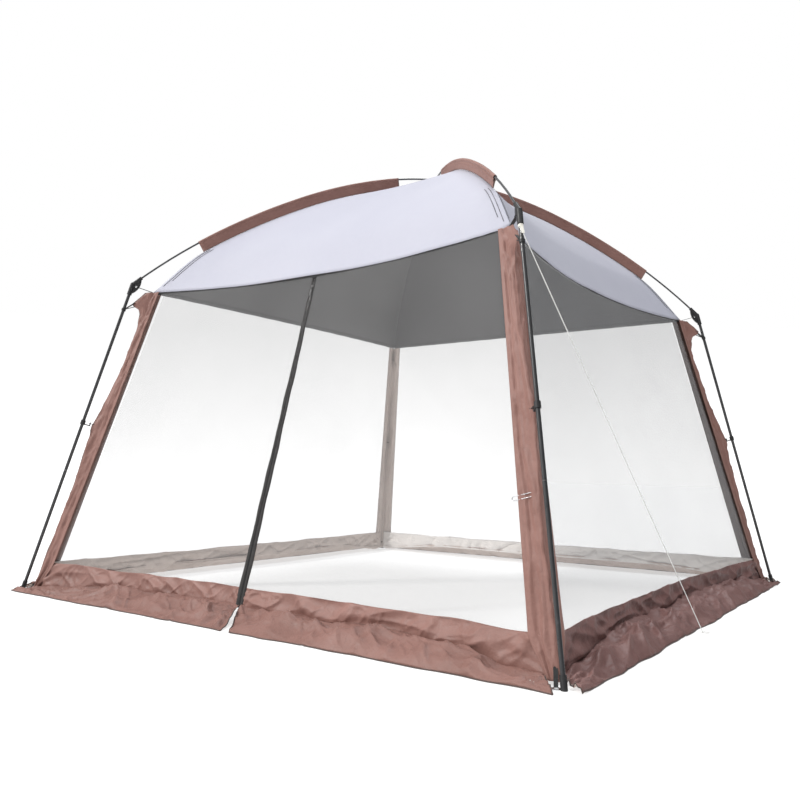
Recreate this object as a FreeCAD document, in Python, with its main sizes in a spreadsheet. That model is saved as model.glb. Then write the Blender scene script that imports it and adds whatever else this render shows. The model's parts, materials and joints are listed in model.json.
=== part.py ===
import FreeCAD, Part
import math, os, sys
from FreeCAD import Vector, Rotation, Placement

# Screen house: four leaning steel legs, four moulded elbows and two crossed fibreglass
# arches carry a hung fabric body (roof canopy, corner columns, net walls, bottom bands and
# ground skirts).  Row frame: +Z up, origin on the ground under the roof's crown, the door
# wall faces -Y.  Millimetres.

doc = FreeCAD.newDocument("ScreenHouse")
sheet = doc.addObject("Spreadsheet::Sheet", "Sizes")
SIZES = [
    ("foot_half", 1500.0), ("leg_outer_r", 8.0), ("leg_inner_r", 7.1), ("leg_foot_gap", 9.0),
    ("leg_lower_len", 628.0), ("leg_upper_len", 1010.0), ("spigot_outer_r", 7.0),
    ("spigot_inner_r", 6.0), ("spigot_len", 110.0),
    ("cap_r", 11.0), ("cap_bore_r", 8.1), ("cap_up", 44.0),
    ("arch_apex_z", 2334.0), ("arch_split", 5.6), ("arch_section", 521.0),
    ("arch_bend_crown", 1500.0), ("arch_bend_upper", 2300.0), ("arch_bend_mid", 3700.0),
    ("arch_bend_low", 3150.0), ("pole_r", 4.75), ("ferrule_outer_r", 5.9),
    ("ferrule_inner_r", 4.9), ("ferrule_len", 52.0),
    ("elbow_reach", 60.0), ("elbow_leg_r", 12.0), ("elbow_pole_r", 9.5), ("elbow_leg_bore", 8.1),
    ("elbow_pole_bore", 5.15), ("elbow_plate", 9.0), ("eyelet_r", 5.5), ("eyelet_rim", 6.0),
    ("roof_half", 1095.0), ("roof_corner_z", 1580.0), ("eave_bow", 115.0), ("eave_sag", 22.0),
    ("roof_cloth", 1.5), ("sleeve_drop", 52.0), ("sleeve_start", 215.0), ("sleeve_end", 1322.0),
    ("sleeve_outer_r", 8.2), ("sleeve_inner_r", 7.2), ("sleeve_web", 1.6),
    ("base_half", 1457.0), ("base_bow", 57.0), ("band_top_z", 140.0), ("band_low_z", 52.0),
    ("column_top_w", 55.0), ("column_low_w", 85.0), ("column_cloth", 2.0), ("net_cloth", 1.2),
    ("band_cloth", 1.6), ("skirt_out", 1562.0), ("skirt_cloth", 1.8), ("binding_w", 12.0),
    ("zip_x", -20.0), ("zip_tape_w", 14.0), ("zip_tape_cloth", 2.0),
    ("clip_z", 865.0), ("clip_outer_r", 12.0), ("clip_bore_r", 8.4), ("clip_len", 24.0),
    ("ear_z", 1478.0), ("ear_reach", 62.0),
    ("ring_outer_r", 14.0), ("ring_hole_r", 8.0), ("ring_plate", 3.0),
    ("guy_r", 1.8), ("guy_end_x", 1592.0), ("guy_end_y", -372.0),
]
for i, (alias, value) in enumerate(SIZES, start=1):
    sheet.set("A%d" % i, alias)
    sheet.set("B%d" % i, "%g" % value)
    sheet.setAlias("B%d" % i, alias)
doc.recompute()


def v(alias):
    return float(getattr(sheet, alias))


nodes = []          # document objects that are sub-parts, in order


def keep(obj, label):
    obj.Label = label
    nodes.append(obj)
    return obj


# ---------------------------------------------------------------- helpers
_n = [0]


def uid(base):
    _n[0] += 1
    return "%s_%03d" % (base, _n[0])


def along(p, d):
    return Placement(p, Rotation(Vector(0, 0, 1), d))


def cylinder(p, d, radius, height, base="rod"):
    """Part::Cylinder from p along d; radius and height are sheet expressions."""
    o = doc.addObject("Part::Cylinder", uid(base))
    o.setExpression("Radius", radius)
    o.setExpression("Height", height)
    o.Placement = along(p, d)
    return o


def cut(a, b, base="cut"):
    o = doc.addObject("Part::Cut", uid(base))
    o.Base, o.Tool = a, b
    return o


def fuse(items, base="fuse"):
    o = doc.addObject("Part::MultiFuse", uid(base))
    o.Shapes = items
    return o


def group(items, base="set"):
    o = doc.addObject("Part::Compound", uid(base))
    o.Links = items
    return o


def solid(shape, base="piece"):
    o = doc.addObject("Part::Feature", uid(base))
    o.Shape = shape
    o.Placement = Placement()
    return o


CORNERS = [("front_left", -1, -1), ("front_right", 1, -1), ("back_right", 1, 1), ("back_left", -1, 1)]
R2 = math.sqrt(2.0)


class Corner:
    """The upright plane through the crown and one corner: s runs outwards, z up, t sideways."""

    def __init__(self, name, sx, sy):
        self.name, self.sx, self.sy = name, sx, sy
        self.d = Vector(sx / R2, sy / R2, 0)
        self.n = Vector(0, 0, 1).cross(self.d)
        # arch a runs front_left to back_right and passes over arch b
        self.lift = v("arch_split") if sx == sy else -v("arch_split")

    def at(self, s, z, t=0.0):
        return self.d * s + Vector(0, 0, z) + self.n * t

    def way(self, ds, dz):
        return (self.d * ds + Vector(0, 0, dz)).normalize()


corners = [Corner(*c) for c in CORNERS]


# ---------------------------------------------------------------- the arch's centre line
def arch_arcs(lift):
    """Half an arch from the crown outwards: (start, end, centre, radius, angle0, angle1)."""
    out, s, z, th = [], 0.0, v("arch_apex_z") + lift, 0.0
    for r, length in ((v("arch_bend_crown"), v("arch_section") / 2), (v("arch_bend_upper"), v("arch_section")),
                      (v("arch_bend_mid"), v("arch_section")), (v("arch_bend_low"), v("arch_section"))):
        cs, cz = s - r * math.sin(th), z - r * math.cos(th)
        th2 = th + length / r
        s2, z2 = cs + r * math.sin(th2), cz + r * math.cos(th2)
        out.append(((s, z), (s2, z2), (cs, cz), r, th, th2))
        s, z, th = s2, z2, th2
    return out


def arch_at(s, lift):
    """Height and slope angle of the arch at distance s from the crown."""
    for (a, b, c, r, t1, t2) in arch_arcs(lift):
        if s <= b[0] + 1e-9:
            th = math.asin((s - c[0]) / r)
            return c[1] + r * math.cos(th), th
    (a, b, c, r, t1, t2) = arch_arcs(lift)[-1]
    return b[1] - (s - b[0]) * math.tan(t2), t2


def arch_end(lift):
    (a, b, c, r, t1, t2) = arch_arcs(lift)[-1]
    return b, t2


def tube_arc(corner, c, r, th1, th2, ro, ri=0.0):
    """A round bar or tube that follows one arc of the corner's plane."""
    p = lambda th: corner.at(c[0] + r * math.sin(th), c[1] + r * math.cos(th))
    path = Part.Wire([Part.Arc(p(th1), p((th1 + th2) / 2), p(th2)).toShape()])
    tangent = corner.way(math.cos(th1), -math.sin(th1))

    def sweep(rad):
        ring = Part.Wire([Part.Circle(p(th1), tangent, rad).toShape()])
        return path.makePipeShell([ring], True, True)

    body = sweep(ro)
    if ri:
        body = body.cut(sweep(ri))
    if body.isNull() or not body.isValid():
        raise RuntimeError("arc sweep failed")
    return body.Solids[0]


# ---------------------------------------------------------------- legs, caps, elbows
def elbow_point(corner):
    (s, z), th = arch_end(corner.lift)
    return s + 18 * math.cos(th), z - 18 * math.sin(th), th


legs = {}
for c in corners:
    es, ez, th = elbow_point(c)
    foot = c.at(v("foot_half") * R2, 0)
    top = c.at(es, ez)
    up = (top - foot).normalize()
    c.foot, c.top, c.up, c.es, c.ez, c.th = foot, top, up, es, ez, th
    c.leg_len = (top - foot).Length
    print("elbow", c.name, round(es, 1), round(ez, 1), "leg axis", round(c.leg_len, 1), "pole slope", round(math.degrees(th), 2))


def leg_at(c, z):
    """Point of the leg's axis at height z."""
    return c.foot + c.up * (z / c.up.z)


for c in corners:
    o = cut(cylinder(c.foot + c.up * v("leg_foot_gap"), c.up, "Sizes.leg_outer_r", "Sizes.leg_lower_len"),
            cylinder(c.foot + c.up * (v("leg_foot_gap") - 1), c.up, "Sizes.leg_inner_r", "Sizes.leg_lower_len + 2"), "leg_lower")
    keep(o, "leg_lower_" + c.name)
for c in corners:
    base = v("leg_foot_gap") + v("leg_lower_len") + 1.0
    o = cut(cylinder(c.foot + c.up * base, c.up, "Sizes.leg_outer_r", "Sizes.leg_upper_len"),
            cylinder(c.foot + c.up * (base - 1), c.up, "Sizes.leg_inner_r", "Sizes.leg_upper_len + 2"), "leg_upper")
    keep(o, "leg_upper_" + c.name)
items = []
for c in corners:
    base = v("leg_foot_gap") + v("leg_lower_len") - v("spigot_len") / 2
    items.append(cut(cylinder(c.foot + c.up * base, c.up, "Sizes.spigot_outer_r", "Sizes.spigot_len"),
                     cylinder(c.foot + c.up * (base - 1), c.up, "Sizes.spigot_inner_r", "Sizes.spigot_len + 2")))
keep(group(items, "spigots"), "leg_spigots")

items = []
for c in corners:
    outer = cylinder(c.foot - c.up * 14, c.up, "Sizes.cap_r", "Sizes.cap_up + 14")
    floor = doc.addObject("Part::Box", uid("floor"))
    floor.Length, floor.Width, floor.Height = 80, 80, 40
    floor.Placement = Placement(c.foot + Vector(-40, -40, -40), Rotation())
    bore = cylinder(c.foot + c.up * (v("leg_foot_gap") - 0.2), c.up, "Sizes.cap_bore_r", "Sizes.cap_up + 10")
    items.append(cut(cut(outer, floor), bore, "cap"))
keep(group(items, "caps"), "foot_caps")

for c in corners:
    e = c.top
    down = c.up * -1
    pole = c.way(-math.cos(c.th), math.sin(c.th))       # from the bend up along the arch
    bis = (down + pole).normalize()                      # into the bend's hollow side
    c.pole_dir, c.bis = pole, bis
    reach = v("elbow_reach")
    eye = e + bis * 23.0
    c.eye = eye
    a = cylinder(e, down, "Sizes.elbow_leg_r", "Sizes.elbow_reach")
    b = cylinder(e, pole, "Sizes.elbow_pole_r", "Sizes.elbow_reach")
    ball = doc.addObject("Part::Sphere", uid("knuckle"))
    ball.setExpression("Radius", "Sizes.elbow_leg_r")
    ball.Placement = Placement(e, Rotation())
    # web plate across the hollow side, with a round rim for the eyelet
    half = v("elbow_plate") / 2
    # lens-shaped web: an arc across the hollow side from arm to arm
    hollow = [e + down * 57, e + bis * 37, e + pole * 57]
    hollow = [p - c.n * half for p in hollow]
    inner = [p - c.n * half for p in (e + pole * 4 - bis * 4, e + down * 4 - bis * 4)]
    wire = Part.Wire([Part.Arc(*hollow).toShape(), Part.LineSegment(hollow[2], inner[0]).toShape(),
                      Part.LineSegment(inner[0], inner[1]).toShape(), Part.LineSegment(inner[1], hollow[0]).toShape()])
    web = solid(Part.Face(wire).extrude(c.n * (2 * half)), "web")
    rim = cylinder(eye - c.n * half, c.n, "Sizes.eyelet_r + Sizes.eyelet_rim", "Sizes.elbow_plate")
    body = fuse([a, b, ball, web, rim], "elbow_body")
    leg_bore = cylinder(e + down * 12, down, "Sizes.elbow_leg_bore", "Sizes.elbow_reach")
    pole_bore = cylinder(e + pole * 16, pole, "Sizes.elbow_pole_bore", "Sizes.elbow_reach")
    eyelet = cylinder(eye - c.n * (half + 2), c.n, "Sizes.eyelet_r", "Sizes.elbow_plate + 4")
    keep(cut(body, fuse([leg_bore, pole_bore, eyelet], "bores"), "elbow"), "corner_elbow_" + c.name)

# ---------------------------------------------------------------- arches
fl, fr, br, bl = corners


def pole_solids(pair):
    out = []
    for c in pair:
        arcs = arch_arcs(c.lift)
        for k, (a, b, ctr, r, t1, t2) in enumerate(arcs):
            if k == 0:
                continue
            out.append(tube_arc(c, ctr, r, t1, t2, v("pole_r")))
    c = pair[0]
    (a, b, ctr, r, t1, t2) = arch_arcs(c.lift)[0]
    out.append(tube_arc(c, ctr, r, -t2, t2, v("pole_r")))   # crown section spans both sides
    return out


for label, pair in (("arch_pole_a", (fl, br)), ("arch_pole_b", (fr, bl))):
    keep(solid(Part.makeCompound(pole_solids(pair)), "arch"), label)

ferrules = []
for c in corners:
    for (a, b, ctr, r, t1, t2) in arch_arcs(c.lift)[:3]:
        d = c.way(math.cos(t2), -math.sin(t2))
        mid = c.at(b[0], b[1])
        length = v("ferrule_len")
        tube = Part.makeCylinder(v("ferrule_outer_r"), length, mid - d * (length / 2), d).cut(
            Part.makeCylinder(v("ferrule_inner_r"), length + 2, mid - d * (length / 2 + 1), d))
        ferrules.append(tube.Solids[0])
keep(solid(Part.makeCompound(ferrules), "ferrules"), "arch_ferrules")


# ---------------------------------------------------------------- roof
def seam(s, lift):
    """Height of the roof's diagonal seam at distance s: a sleeve's width under the arch, then
    a straight fall from the sleeve's end to the roof corner."""
    z_end, th_end = arch_at(v("sleeve_end"), 0)
    s_e = v("sleeve_end") - v("sleeve_drop") * math.sin(th_end)
    z_e = z_end - v("sleeve_drop") * math.cos(th_end)
    if s <= s_e:
        z, th = arch_at(s, 0)
        return z - v("sleeve_drop") / math.cos(th)
    s_c = v("roof_half") * R2
    u = (s - s_e) / (s_c - s_e)
    m0 = -math.tan(th_end) * (s_c - s_e)
    m1 = -0.98 * (s_c - s_e)
    h00, h10 = 2 * u**3 - 3 * u**2 + 1, u**3 - 2 * u**2 + u
    h01, h11 = -2 * u**3 + 3 * u**2, u**3 - u**2
    return h00 * z_e + h10 * m0 + h01 * v("roof_corner_z") + h11 * m1


SIDES = {  # outward normal and the direction of increasing u along each wall
    "front": (Vector(0, -1, 0), Vector(1, 0, 0)),
    "right": (Vector(1, 0, 0), Vector(0, 1, 0)),
    "back": (Vector(0, 1, 0), Vector(-1, 0, 0)),
    "left": (Vector(-1, 0, 0), Vector(0, -1, 0)),
}


def roof_point(side, u, s):
    out, run = SIDES[side]
    f = s / (v("roof_half") * R2)
    half = s / R2
    bow = v("eave_bow") * f**1.6 * (1 - u * u)
    z = seam(s, 0) - v("eave_sag") * f**1.6 * (1 - u * u)
    return out * (half - bow) + run * (half * u) + Vector(0, 0, z)


def surface(rows):
    s = Part.BSplineSurface()
    s.interpolate(rows)
    return s.toShape()


def good(shape, what):
    if shape.isNull() or not shape.isValid() or shape.ShapeType not in ("Solid", "Compound") or shape.Volume <= 0:
        raise RuntimeError("bad shape: " + what)
    return shape


S_ROWS = [3, 120, 300, 500, 700, 900, 1080, 1220, 1330, 1440, v("roof_half") * R2]
U_ROWS = [-1, -0.75, -0.5, -0.25, 0, 0.25, 0.5, 0.75, 1]
gores = []
for side in SIDES:
    rows = [[roof_point(side, u, s) for u in U_ROWS] for s in S_ROWS]
    gores.append(good(surface(rows).extrude(Vector(0, 0, -v("roof_cloth"))), "gore " + side))
keep(solid(Part.makeCompound(gores), "roof"), "roof_canopy")


def eave(side, u, lower=0.0):
    p = roof_point(side, u, v("roof_half") * R2)
    return p + Vector(0, 0, -lower)


def base(side, u, z):
    """A point of the wall at height z: straight up a fall line from the bowed foot to the eave."""
    out, run = SIDES[side]
    lo = out * (v("base_half") - v("base_bow") * (1 - u * u)) + run * (v("base_half") * u)
    hi = eave(side, u)
    return lo + (hi - lo) * (z / hi.z)


def strip(side, u0, u1, z0, z1, thick, shift=0.0, n=9):
    """Cloth strip of a wall from u0 to u1 between two heights (z1 None: up to the eave)."""
    out, run = SIDES[side]
    us = [u0 + (u1 - u0) * i / (n - 1) for i in range(n)]
    top = [(eave(side, u, 2.0) if z1 is None else base(side, u, z1)) + out * shift for u in us]
    low = [base(side, u, z0) + out * shift for u in us]

    def spline(pts):
        b = Part.BSplineCurve()
        b.interpolate(pts)
        return b.toShape()

    face = Part.makeRuledSurface(spline(low), spline(top))
    return good(face.extrude(out * thick), "strip " + side)


# black tape sewn along the roof's four edges, just outside the nets
tapes = []
for side in SIDES:
    out, run = SIDES[side]
    us = [-0.985 + 1.97 * i / 8 for i in range(9)]
    top = [eave(side, u, 1.6) + out * 3.0 for u in us]
    low = [p + Vector(0, 0, -v("binding_w")) + out * 1.5 for p in top]
    b1, b2 = Part.BSplineCurve(), Part.BSplineCurve()
    b1.interpolate(low)
    b2.interpolate(top)
    tapes.append(good(Part.makeRuledSurface(b1.toShape(), b2.toShape()).extrude(out * 1.2), "binding"))
keep(solid(Part.makeCompound(tapes), "binding"), "eave_binding")

# pole sleeves: a cloth tunnel round the arch and a web down to the roof's seam
for c in corners:
    s0, s1 = v("sleeve_start"), v("sleeve_end")
    tubes = []
    for (a, b, ctr, r, t1, t2) in arch_arcs(c.lift):
        lo, hi = max(s0, a[0]), min(s1, b[0])
        if hi <= lo:
            continue
        th1, th2 = math.asin((lo - ctr[0]) / r), math.asin((hi - ctr[0]) / r)
        tubes.append(tube_arc(c, ctr, r, th1, th2, v("sleeve_outer_r"), v("sleeve_inner_r")))
    n = 26
    top, low = [], []
    for i in range(n + 1):
        s = s0 + (s1 - s0) * i / n
        z, th = arch_at(s, c.lift)
        off = (v("sleeve_outer_r") + v("sleeve_inner_r")) / 2
        top.append(c.at(s - off * math.sin(th), z - off * math.cos(th)))
        z0, th0 = arch_at(s, 0)
        off = v("sleeve_drop") - 0.6
        low.append(c.at(s - off * math.sin(th0), z0 - off * math.cos(th0)))
    ring = [p - c.n * (v("sleeve_web") / 2) for p in top + low[::-1] + [top[0]]]
    web = Part.Face(Part.makePolygon(ring)).extrude(c.n * v("sleeve_web"))
    body = tubes[0].fuse(tubes[1:] + [web])
    if not body.isValid() or len(body.Solids) != 1:
        print("sleeve", c.name, "kept as", len(body.Solids), "solids, valid", body.isValid())
        body = Part.makeCompound(tubes + [web])
    keep(solid(body.Solids[0] if len(body.Solids) == 1 else body, "sleeve"), "pole_sleeve_" + c.name)

# ---------------------------------------------------------------- corner columns
def column(c):
    """Two cloth faces that meet at the corner's ridge, one in each wall, and the pulled-out ear."""
    T = v("column_cloth")
    zt, zb = v("roof_corner_z") - 6.0, 56.0
    bh, rh = v("base_half"), v("roof_half")
    half = lambda z: bh + (rh - bh) * z / v("roof_corner_z")
    shapes = []
    for axis in (0, 1):
        def pt(z, w, outward):
            h = half(z)
            if axis == 0:      # face in the front or back wall
                return Vector(c.sx * (h - w), c.sy * (h + outward), z)
            return Vector(c.sx * (h + outward), c.sy * (h - w), z)
        w_top, w_low = v("column_top_w"), v("column_low_w")
        inner = [pt(zb, w_low, 0), pt(zb, -T if axis == 0 else 0, 0), pt(zt, -T if axis == 0 else 0, 0), pt(zt, w_top, 0)]
        face = Part.Face(Part.makePolygon(inner + [inner[0]]))
        d = Vector(0, c.sy * T, 0) if axis == 0 else Vector(c.sx * T, 0, 0)
        shapes.append(face.extrude(d))
    # ear: a cloth gusset in the corner's upright plane, drawn out to the leg
    s_of = lambda z: half(z) * R2
    ear_tip = c.at(c.es + 12 - v("ear_reach") * 0.55, v("ear_z") + 20)
    tri = [c.at(s_of(zt) + 0.5, zt), ear_tip, c.at(s_of(zt - 150) + 0.5, zt - 150)]
    ear = Part.Face(Part.makePolygon([p - c.n * 1.0 for p in tri + [tri[0]]])).extrude(c.n * 2.0)
    body = shapes[0].fuse([shapes[1], ear])
    c.ear_tip = ear_tip
    if len(body.Solids) != 1 or not body.isValid():
        print("column", c.name, len(body.Solids), body.isValid())
        return body
    return body.Solids[0]


for c in corners:
    keep(solid(column(c), "column"), "corner_column_" + c.name)

# ---------------------------------------------------------------- net walls, bands, skirts
uin = lambda z: 1 - (v("column_low_w") + (v("column_top_w") - v("column_low_w")) * z / v("roof_corner_z")) / (
    v("base_half") + (v("roof_half") - v("base_half")) * z / v("roof_corner_z"))
U_NET = min(uin(0), uin(1580)) - 0.001
zt0 = (v("zip_x") - v("zip_tape_w")) / 1240.0
zt1 = (v("zip_x") + v("zip_tape_w")) / 1240.0


def cut_at_zip(shape, left):
    """The door halves stop at the zip tapes, which run straight up at x = zip_x."""
    w = v("zip_tape_w") + 0.3
    box = Part.makeBox(3000, 2000, 3000, Vector(v("zip_x") - w, -2500, -200) if left else Vector(v("zip_x") + w - 3000, -2500, -200))
    out = shape.cut(box)
    return good(out.Solids[0], "door half")


for label, side, part in (("mesh_wall_right", "right", None), ("mesh_wall_back", "back", None), ("mesh_wall_left", "left", None),
                          ("mesh_door_left", "front", True), ("mesh_door_right", "front", False)):
    s = strip(side, -U_NET, U_NET, v("band_top_z") + 0.3, None, v("net_cloth"))
    if part is not None:
        s = cut_at_zip(s, part)
    keep(solid(s if s.ShapeType == "Solid" else s.Solids[0], "net"), label)

for label, side, part in (("wall_band_right", "right", None), ("wall_band_back", "back", None), ("wall_band_left", "left", None),
                          ("wall_band_front_left", "front", True), ("wall_band_front_right", "front", False)):
    s = strip(side, -U_NET, U_NET, v("band_low_z"), v("band_top_z"), v("band_cloth"))
    if part is not None:
        s = cut_at_zip(s, part)
    keep(solid(s if s.ShapeType == "Solid" else s.Solids[0], "band"), label)


def skirt(side):
    """Cloth apron from the band's lower seam, sloping out and down, then flat on the ground."""
    out, run = SIDES[side]
    T = v("skirt_cloth")
    us = [-1 + 2 * i / 12.0 for i in range(13)]

    hi = [base(side, u * U_NET, v("band_low_z") - 2.4) + out * 0.2 for u in us]
    lo = [out * (v("skirt_out") - 26.0) + run * (v("base_half") * 1.03 * u) + Vector(0, 0, 0.0) for u in us]
    edge = [out * v("skirt_out") + run * (v("base_half") * 1.045 * u) for u in us]

    def spline(pts):
        b = Part.BSplineCurve()
        b.interpolate(pts)
        return b.toShape()

    slope = Part.makeRuledSurface(spline(hi), spline(lo)).extrude(Vector(0, 0, T))
    flat = Part.makeRuledSurface(spline(lo), spline(edge)).extrude(Vector(0, 0, T))
    body = slope.fuse(flat)
    return good(body.Solids[0] if len(body.Solids) == 1 else body, "skirt " + side)


def cut_corner(shape, c, w=9.0):
    """Each leg's foot stands in a slit between two skirts."""
    box = Part.makeBox(700, 2 * w, 300)
    box.Placement = Placement(c.at(v("base_half") * R2 - 60, -50) - c.n * w, Rotation(Vector(1, 0, 0), c.d))
    return shape.cut(box)


SKIRT_ENDS = {"front": (fl, fr), "right": (fr, br), "back": (br, bl), "left": (bl, fl)}
for label, side, part in (("ground_skirt_right", "right", None), ("ground_skirt_back", "back", None), ("ground_skirt_left", "left", None),
                          ("ground_skirt_front_left", "front", True), ("ground_skirt_front_right", "front", False)):
    s = skirt(side)
    # mitre each end beside the corner's upright plane, short of it
    for c in SKIRT_ENDS[side]:
        away = c.n if c.n.dot(SIDES[side][0]) < 0 else c.n * -1
        corner_box = Part.makeBox(2000, 2000, 600)
        corner_box.translate(Vector(-1000, 0, -300))
        gap = 36.0 if away.dot(c.n) > 0 else 24.0       # wider where the peg ring lies
        corner_box.Placement = Placement(c.at(1800, 0) - away * gap, Rotation(Vector(0, 1, 0), away)).multiply(Placement(Vector(-1000, 0, -300), Rotation()))
        s = s.cut(corner_box)
    if part is not None:
        w = 3.0
        box = Part.makeBox(3400, 2400, 600, Vector(v("zip_x") - w, -2600, -200) if part else Vector(v("zip_x") + w - 3400, -2600, -200))
        s = s.cut(box)
    sol = sorted(s.Solids, key=lambda q: -q.Volume)[0]
    keep(solid(good(sol, label), "skirt"), label)

# ---------------------------------------------------------------- door zip
zx = v("zip_x")
u_z = 0.0
p_lo, p_hi = base("front", zx / 1400.0, v("band_low_z") + 4), eave("front", zx / 980.0, 16.0)
zip_lo = Vector(zx, p_lo.y, p_lo.z)
zip_hi = Vector(zx, p_hi.y, p_hi.z)
zdir = (zip_hi - zip_lo).normalize()
znorm = Vector(1, 0, 0).cross(zdir) * -1
if znorm.y > 0:
    znorm = znorm * -1
zlen = (zip_hi - zip_lo).Length
print("zip from", [round(q, 2) for q in zip_lo], "to", [round(q, 2) for q in zip_hi], "length", round(zlen, 1),
      "dir", [round(q, 5) for q in zdir], "normal", [round(q, 5) for q in znorm])


def slab(origin, ax, ay, az, lx, ly, lz):
    """Box with its own three directions, from a corner."""
    pts = [origin, origin + ax * lx, origin + ax * lx + ay * ly, origin + ay * ly]
    return Part.Face(Part.makePolygon(pts + [pts[0]])).extrude(az * lz)


X = Vector(1, 0, 0)
TT = v("zip_tape_cloth")
for label, sgn in (("zip_tape_left", -1), ("zip_tape_right", 1)):
    w = v("zip_tape_w") - 0.3
    start = zip_lo + X * (0.25 * sgn) - znorm * 0.4
    tape = slab(start, X * sgn, zdir, znorm, w, zlen, TT)
    coil = slab(zip_lo + X * (0.25 * sgn) + znorm * (TT - 0.5), X * sgn, zdir, znorm, 3.2, zlen, 1.5)
    keep(solid(tape.fuse(coil).Solids[0], "tape"), label)

# slider: two plates round the coils and a bridge over the middle, near the top of the zip
at = zip_lo + zdir * (zlen - 62.0)
front = slab(at - X * 7 + znorm * (TT + 1.4), X, zdir, znorm, 14, 26, 2.4)
back = slab(at - X * 7 - znorm * 3.2, X, zdir, znorm, 14, 26, 2.0)
lug = slab(at - X * 2.2 + zdir * 9 + znorm * (TT + 3.7), X, zdir, znorm, 4.4, 9, 4.6)
hole = Part.makeCylinder(1.35, 10, at - X * 5 + zdir * 13.5 + znorm * (TT + 6.0), X)
post = slab(at - X * 0.2 + zdir * 20 - znorm * 2.2, X, zdir, znorm, 0.4, 5, TT + 4.6)
slider = front.fuse([back, lug, post]).cut(hole)
keep(solid(slider.Solids[0], "slider"), "zip_slider")
pin_c = at + zdir * 13.5 + znorm * (TT + 6.0)
print("slider pull hinge at", [round(q, 2) for q in pin_c], "axis X")
# pull: a small staple through the lug and a tab that hangs down the outside
bar = Part.makeCylinder(1.05, 9.6, pin_c - X * 4.8, X)
down = zdir * -1
side_a = slab(pin_c - X * 5.4 - znorm * 1.0 + zdir * 1.05, X, down, znorm, 1.8, 15, 2.0)
side_b = slab(pin_c + X * 3.6 - znorm * 1.0 + zdir * 1.05, X, down, znorm, 1.8, 15, 2.0)
tab = slab(pin_c - X * 5.4 - znorm * 1.0 + down * 12, X, down, znorm, 10.8, 34, 2.0)
pull = bar.fuse([side_a, side_b, tab])
keep(solid(pull.Solids[0], "pull"), "zip_pull")

# ---------------------------------------------------------------- hooks and clips on the frame
hooks = []
for c in corners:
    corner_pt = c.at(v("roof_half") * R2 + 2.5, v("roof_corner_z") - 1)
    d = (corner_pt - c.eye).normalize()
    side = c.n
    r_ring = 9.0
    ring = Part.makeTorus(r_ring, 1.6, c.eye + d * r_ring, d.cross(side))
    far = c.eye + d * (2 * r_ring + 0.6)
    length = (corner_pt - far).Length
    nz = d.cross(side).normalize()
    strap = slab(far - side * 7 - nz * 1.0, side, d, nz, 14, length, 2.0)
    hooks.append(good(ring.fuse(strap).Solids[0], "hook"))
keep(solid(Part.makeCompound(hooks), "hooks"), "roof_corner_hooks")

ears = []
for c in corners:
    p = leg_at(c, v("ear_z"))
    ring = Part.makeCylinder(11.0, 14, p - c.up * 7, c.up).cut(Part.makeCylinder(v("leg_outer_r") + 0.1, 16, p - c.up * 8, c.up))
    tip = c.ear_tip + (c.ear_tip - p).normalize() * 0.0
    d = (tip - p).normalize()
    length = (tip - p).Length - 10.0 - 0.8
    nz = d.cross(c.n).normalize()
    strap = slab(p + d * 10.0 - c.n * 5 - nz * 0.9, c.n, d, nz, 10, length, 1.8)
    ears.append(good(ring.fuse(strap).cut(Part.makeCylinder(v("leg_outer_r") + 0.1, 40, p - c.up * 20, c.up)).Solids[0], "ear clip"))
keep(solid(Part.makeCompound(ears), "ears"), "column_ear_clips")

loops = []
half_at = lambda z: v("base_half") + (v("roof_half") - v("base_half")) * z / v("roof_corner_z")
for c in corners:
    p = leg_at(c, v("clip_z"))
    inn = c.d * -1
    inn = (inn - c.up * inn.dot(c.up)).normalize()      # inwards, square to the leg
    c.inn = inn
    clip = Part.makeCylinder(v("clip_outer_r"), v("clip_len"), p - c.up * (v("clip_len") / 2), c.up)
    arm = slab(p + inn * 9.5 - c.n * 4 - c.up * 10, c.n, inn, c.up, 8, 30, 5.0)
    tipz = slab(p + inn * 34.5 - c.n * 2.5 - c.up * 10, c.n, inn, c.up, 5, 5, 20.0)
    body = clip.fuse([arm, tipz]).cut(Part.makeCylinder(v("clip_bore_r"), v("clip_len") + 2, p - c.up * (v("clip_len") / 2 + 1), c.up))
    keep(solid(good(body.Solids[0], "clip"), "clip"), "mid_clip_" + c.name)
    # webbing loop sewn to the column's ridge: the hook's tip stands inside it
    z0 = (p + inn * 37).z + 2
    ridge = c.at(half_at(z0) * R2 + 3.2, z0)
    out_v = c.d
    q = p + inn * 37 + c.up * 4.0
    outer = slab(q + inn * 9.0 - c.n * 8.0 - c.up * 1.0, c.n, inn * -1, c.up, 16, 17.0, 2.0)
    inner = slab(q + inn * 6.5 - c.n * 5.5 - c.up * 3.0, c.n, inn * -1, c.up, 11, 12.0, 6.0)
    start = q + inn * 8.0
    d = (ridge - start).normalize()
    nz = d.cross(c.n).normalize()
    tail = slab(start - c.n * 8 - nz * 1.0, c.n, d, nz, 16, (ridge - start).Length, 2.0)
    loops.append(good(outer.cut(inner).fuse(tail).cut(inner).Solids[0], "loop"))
keep(solid(Part.makeCompound(loops), "loops"), "column_loops")

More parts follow.
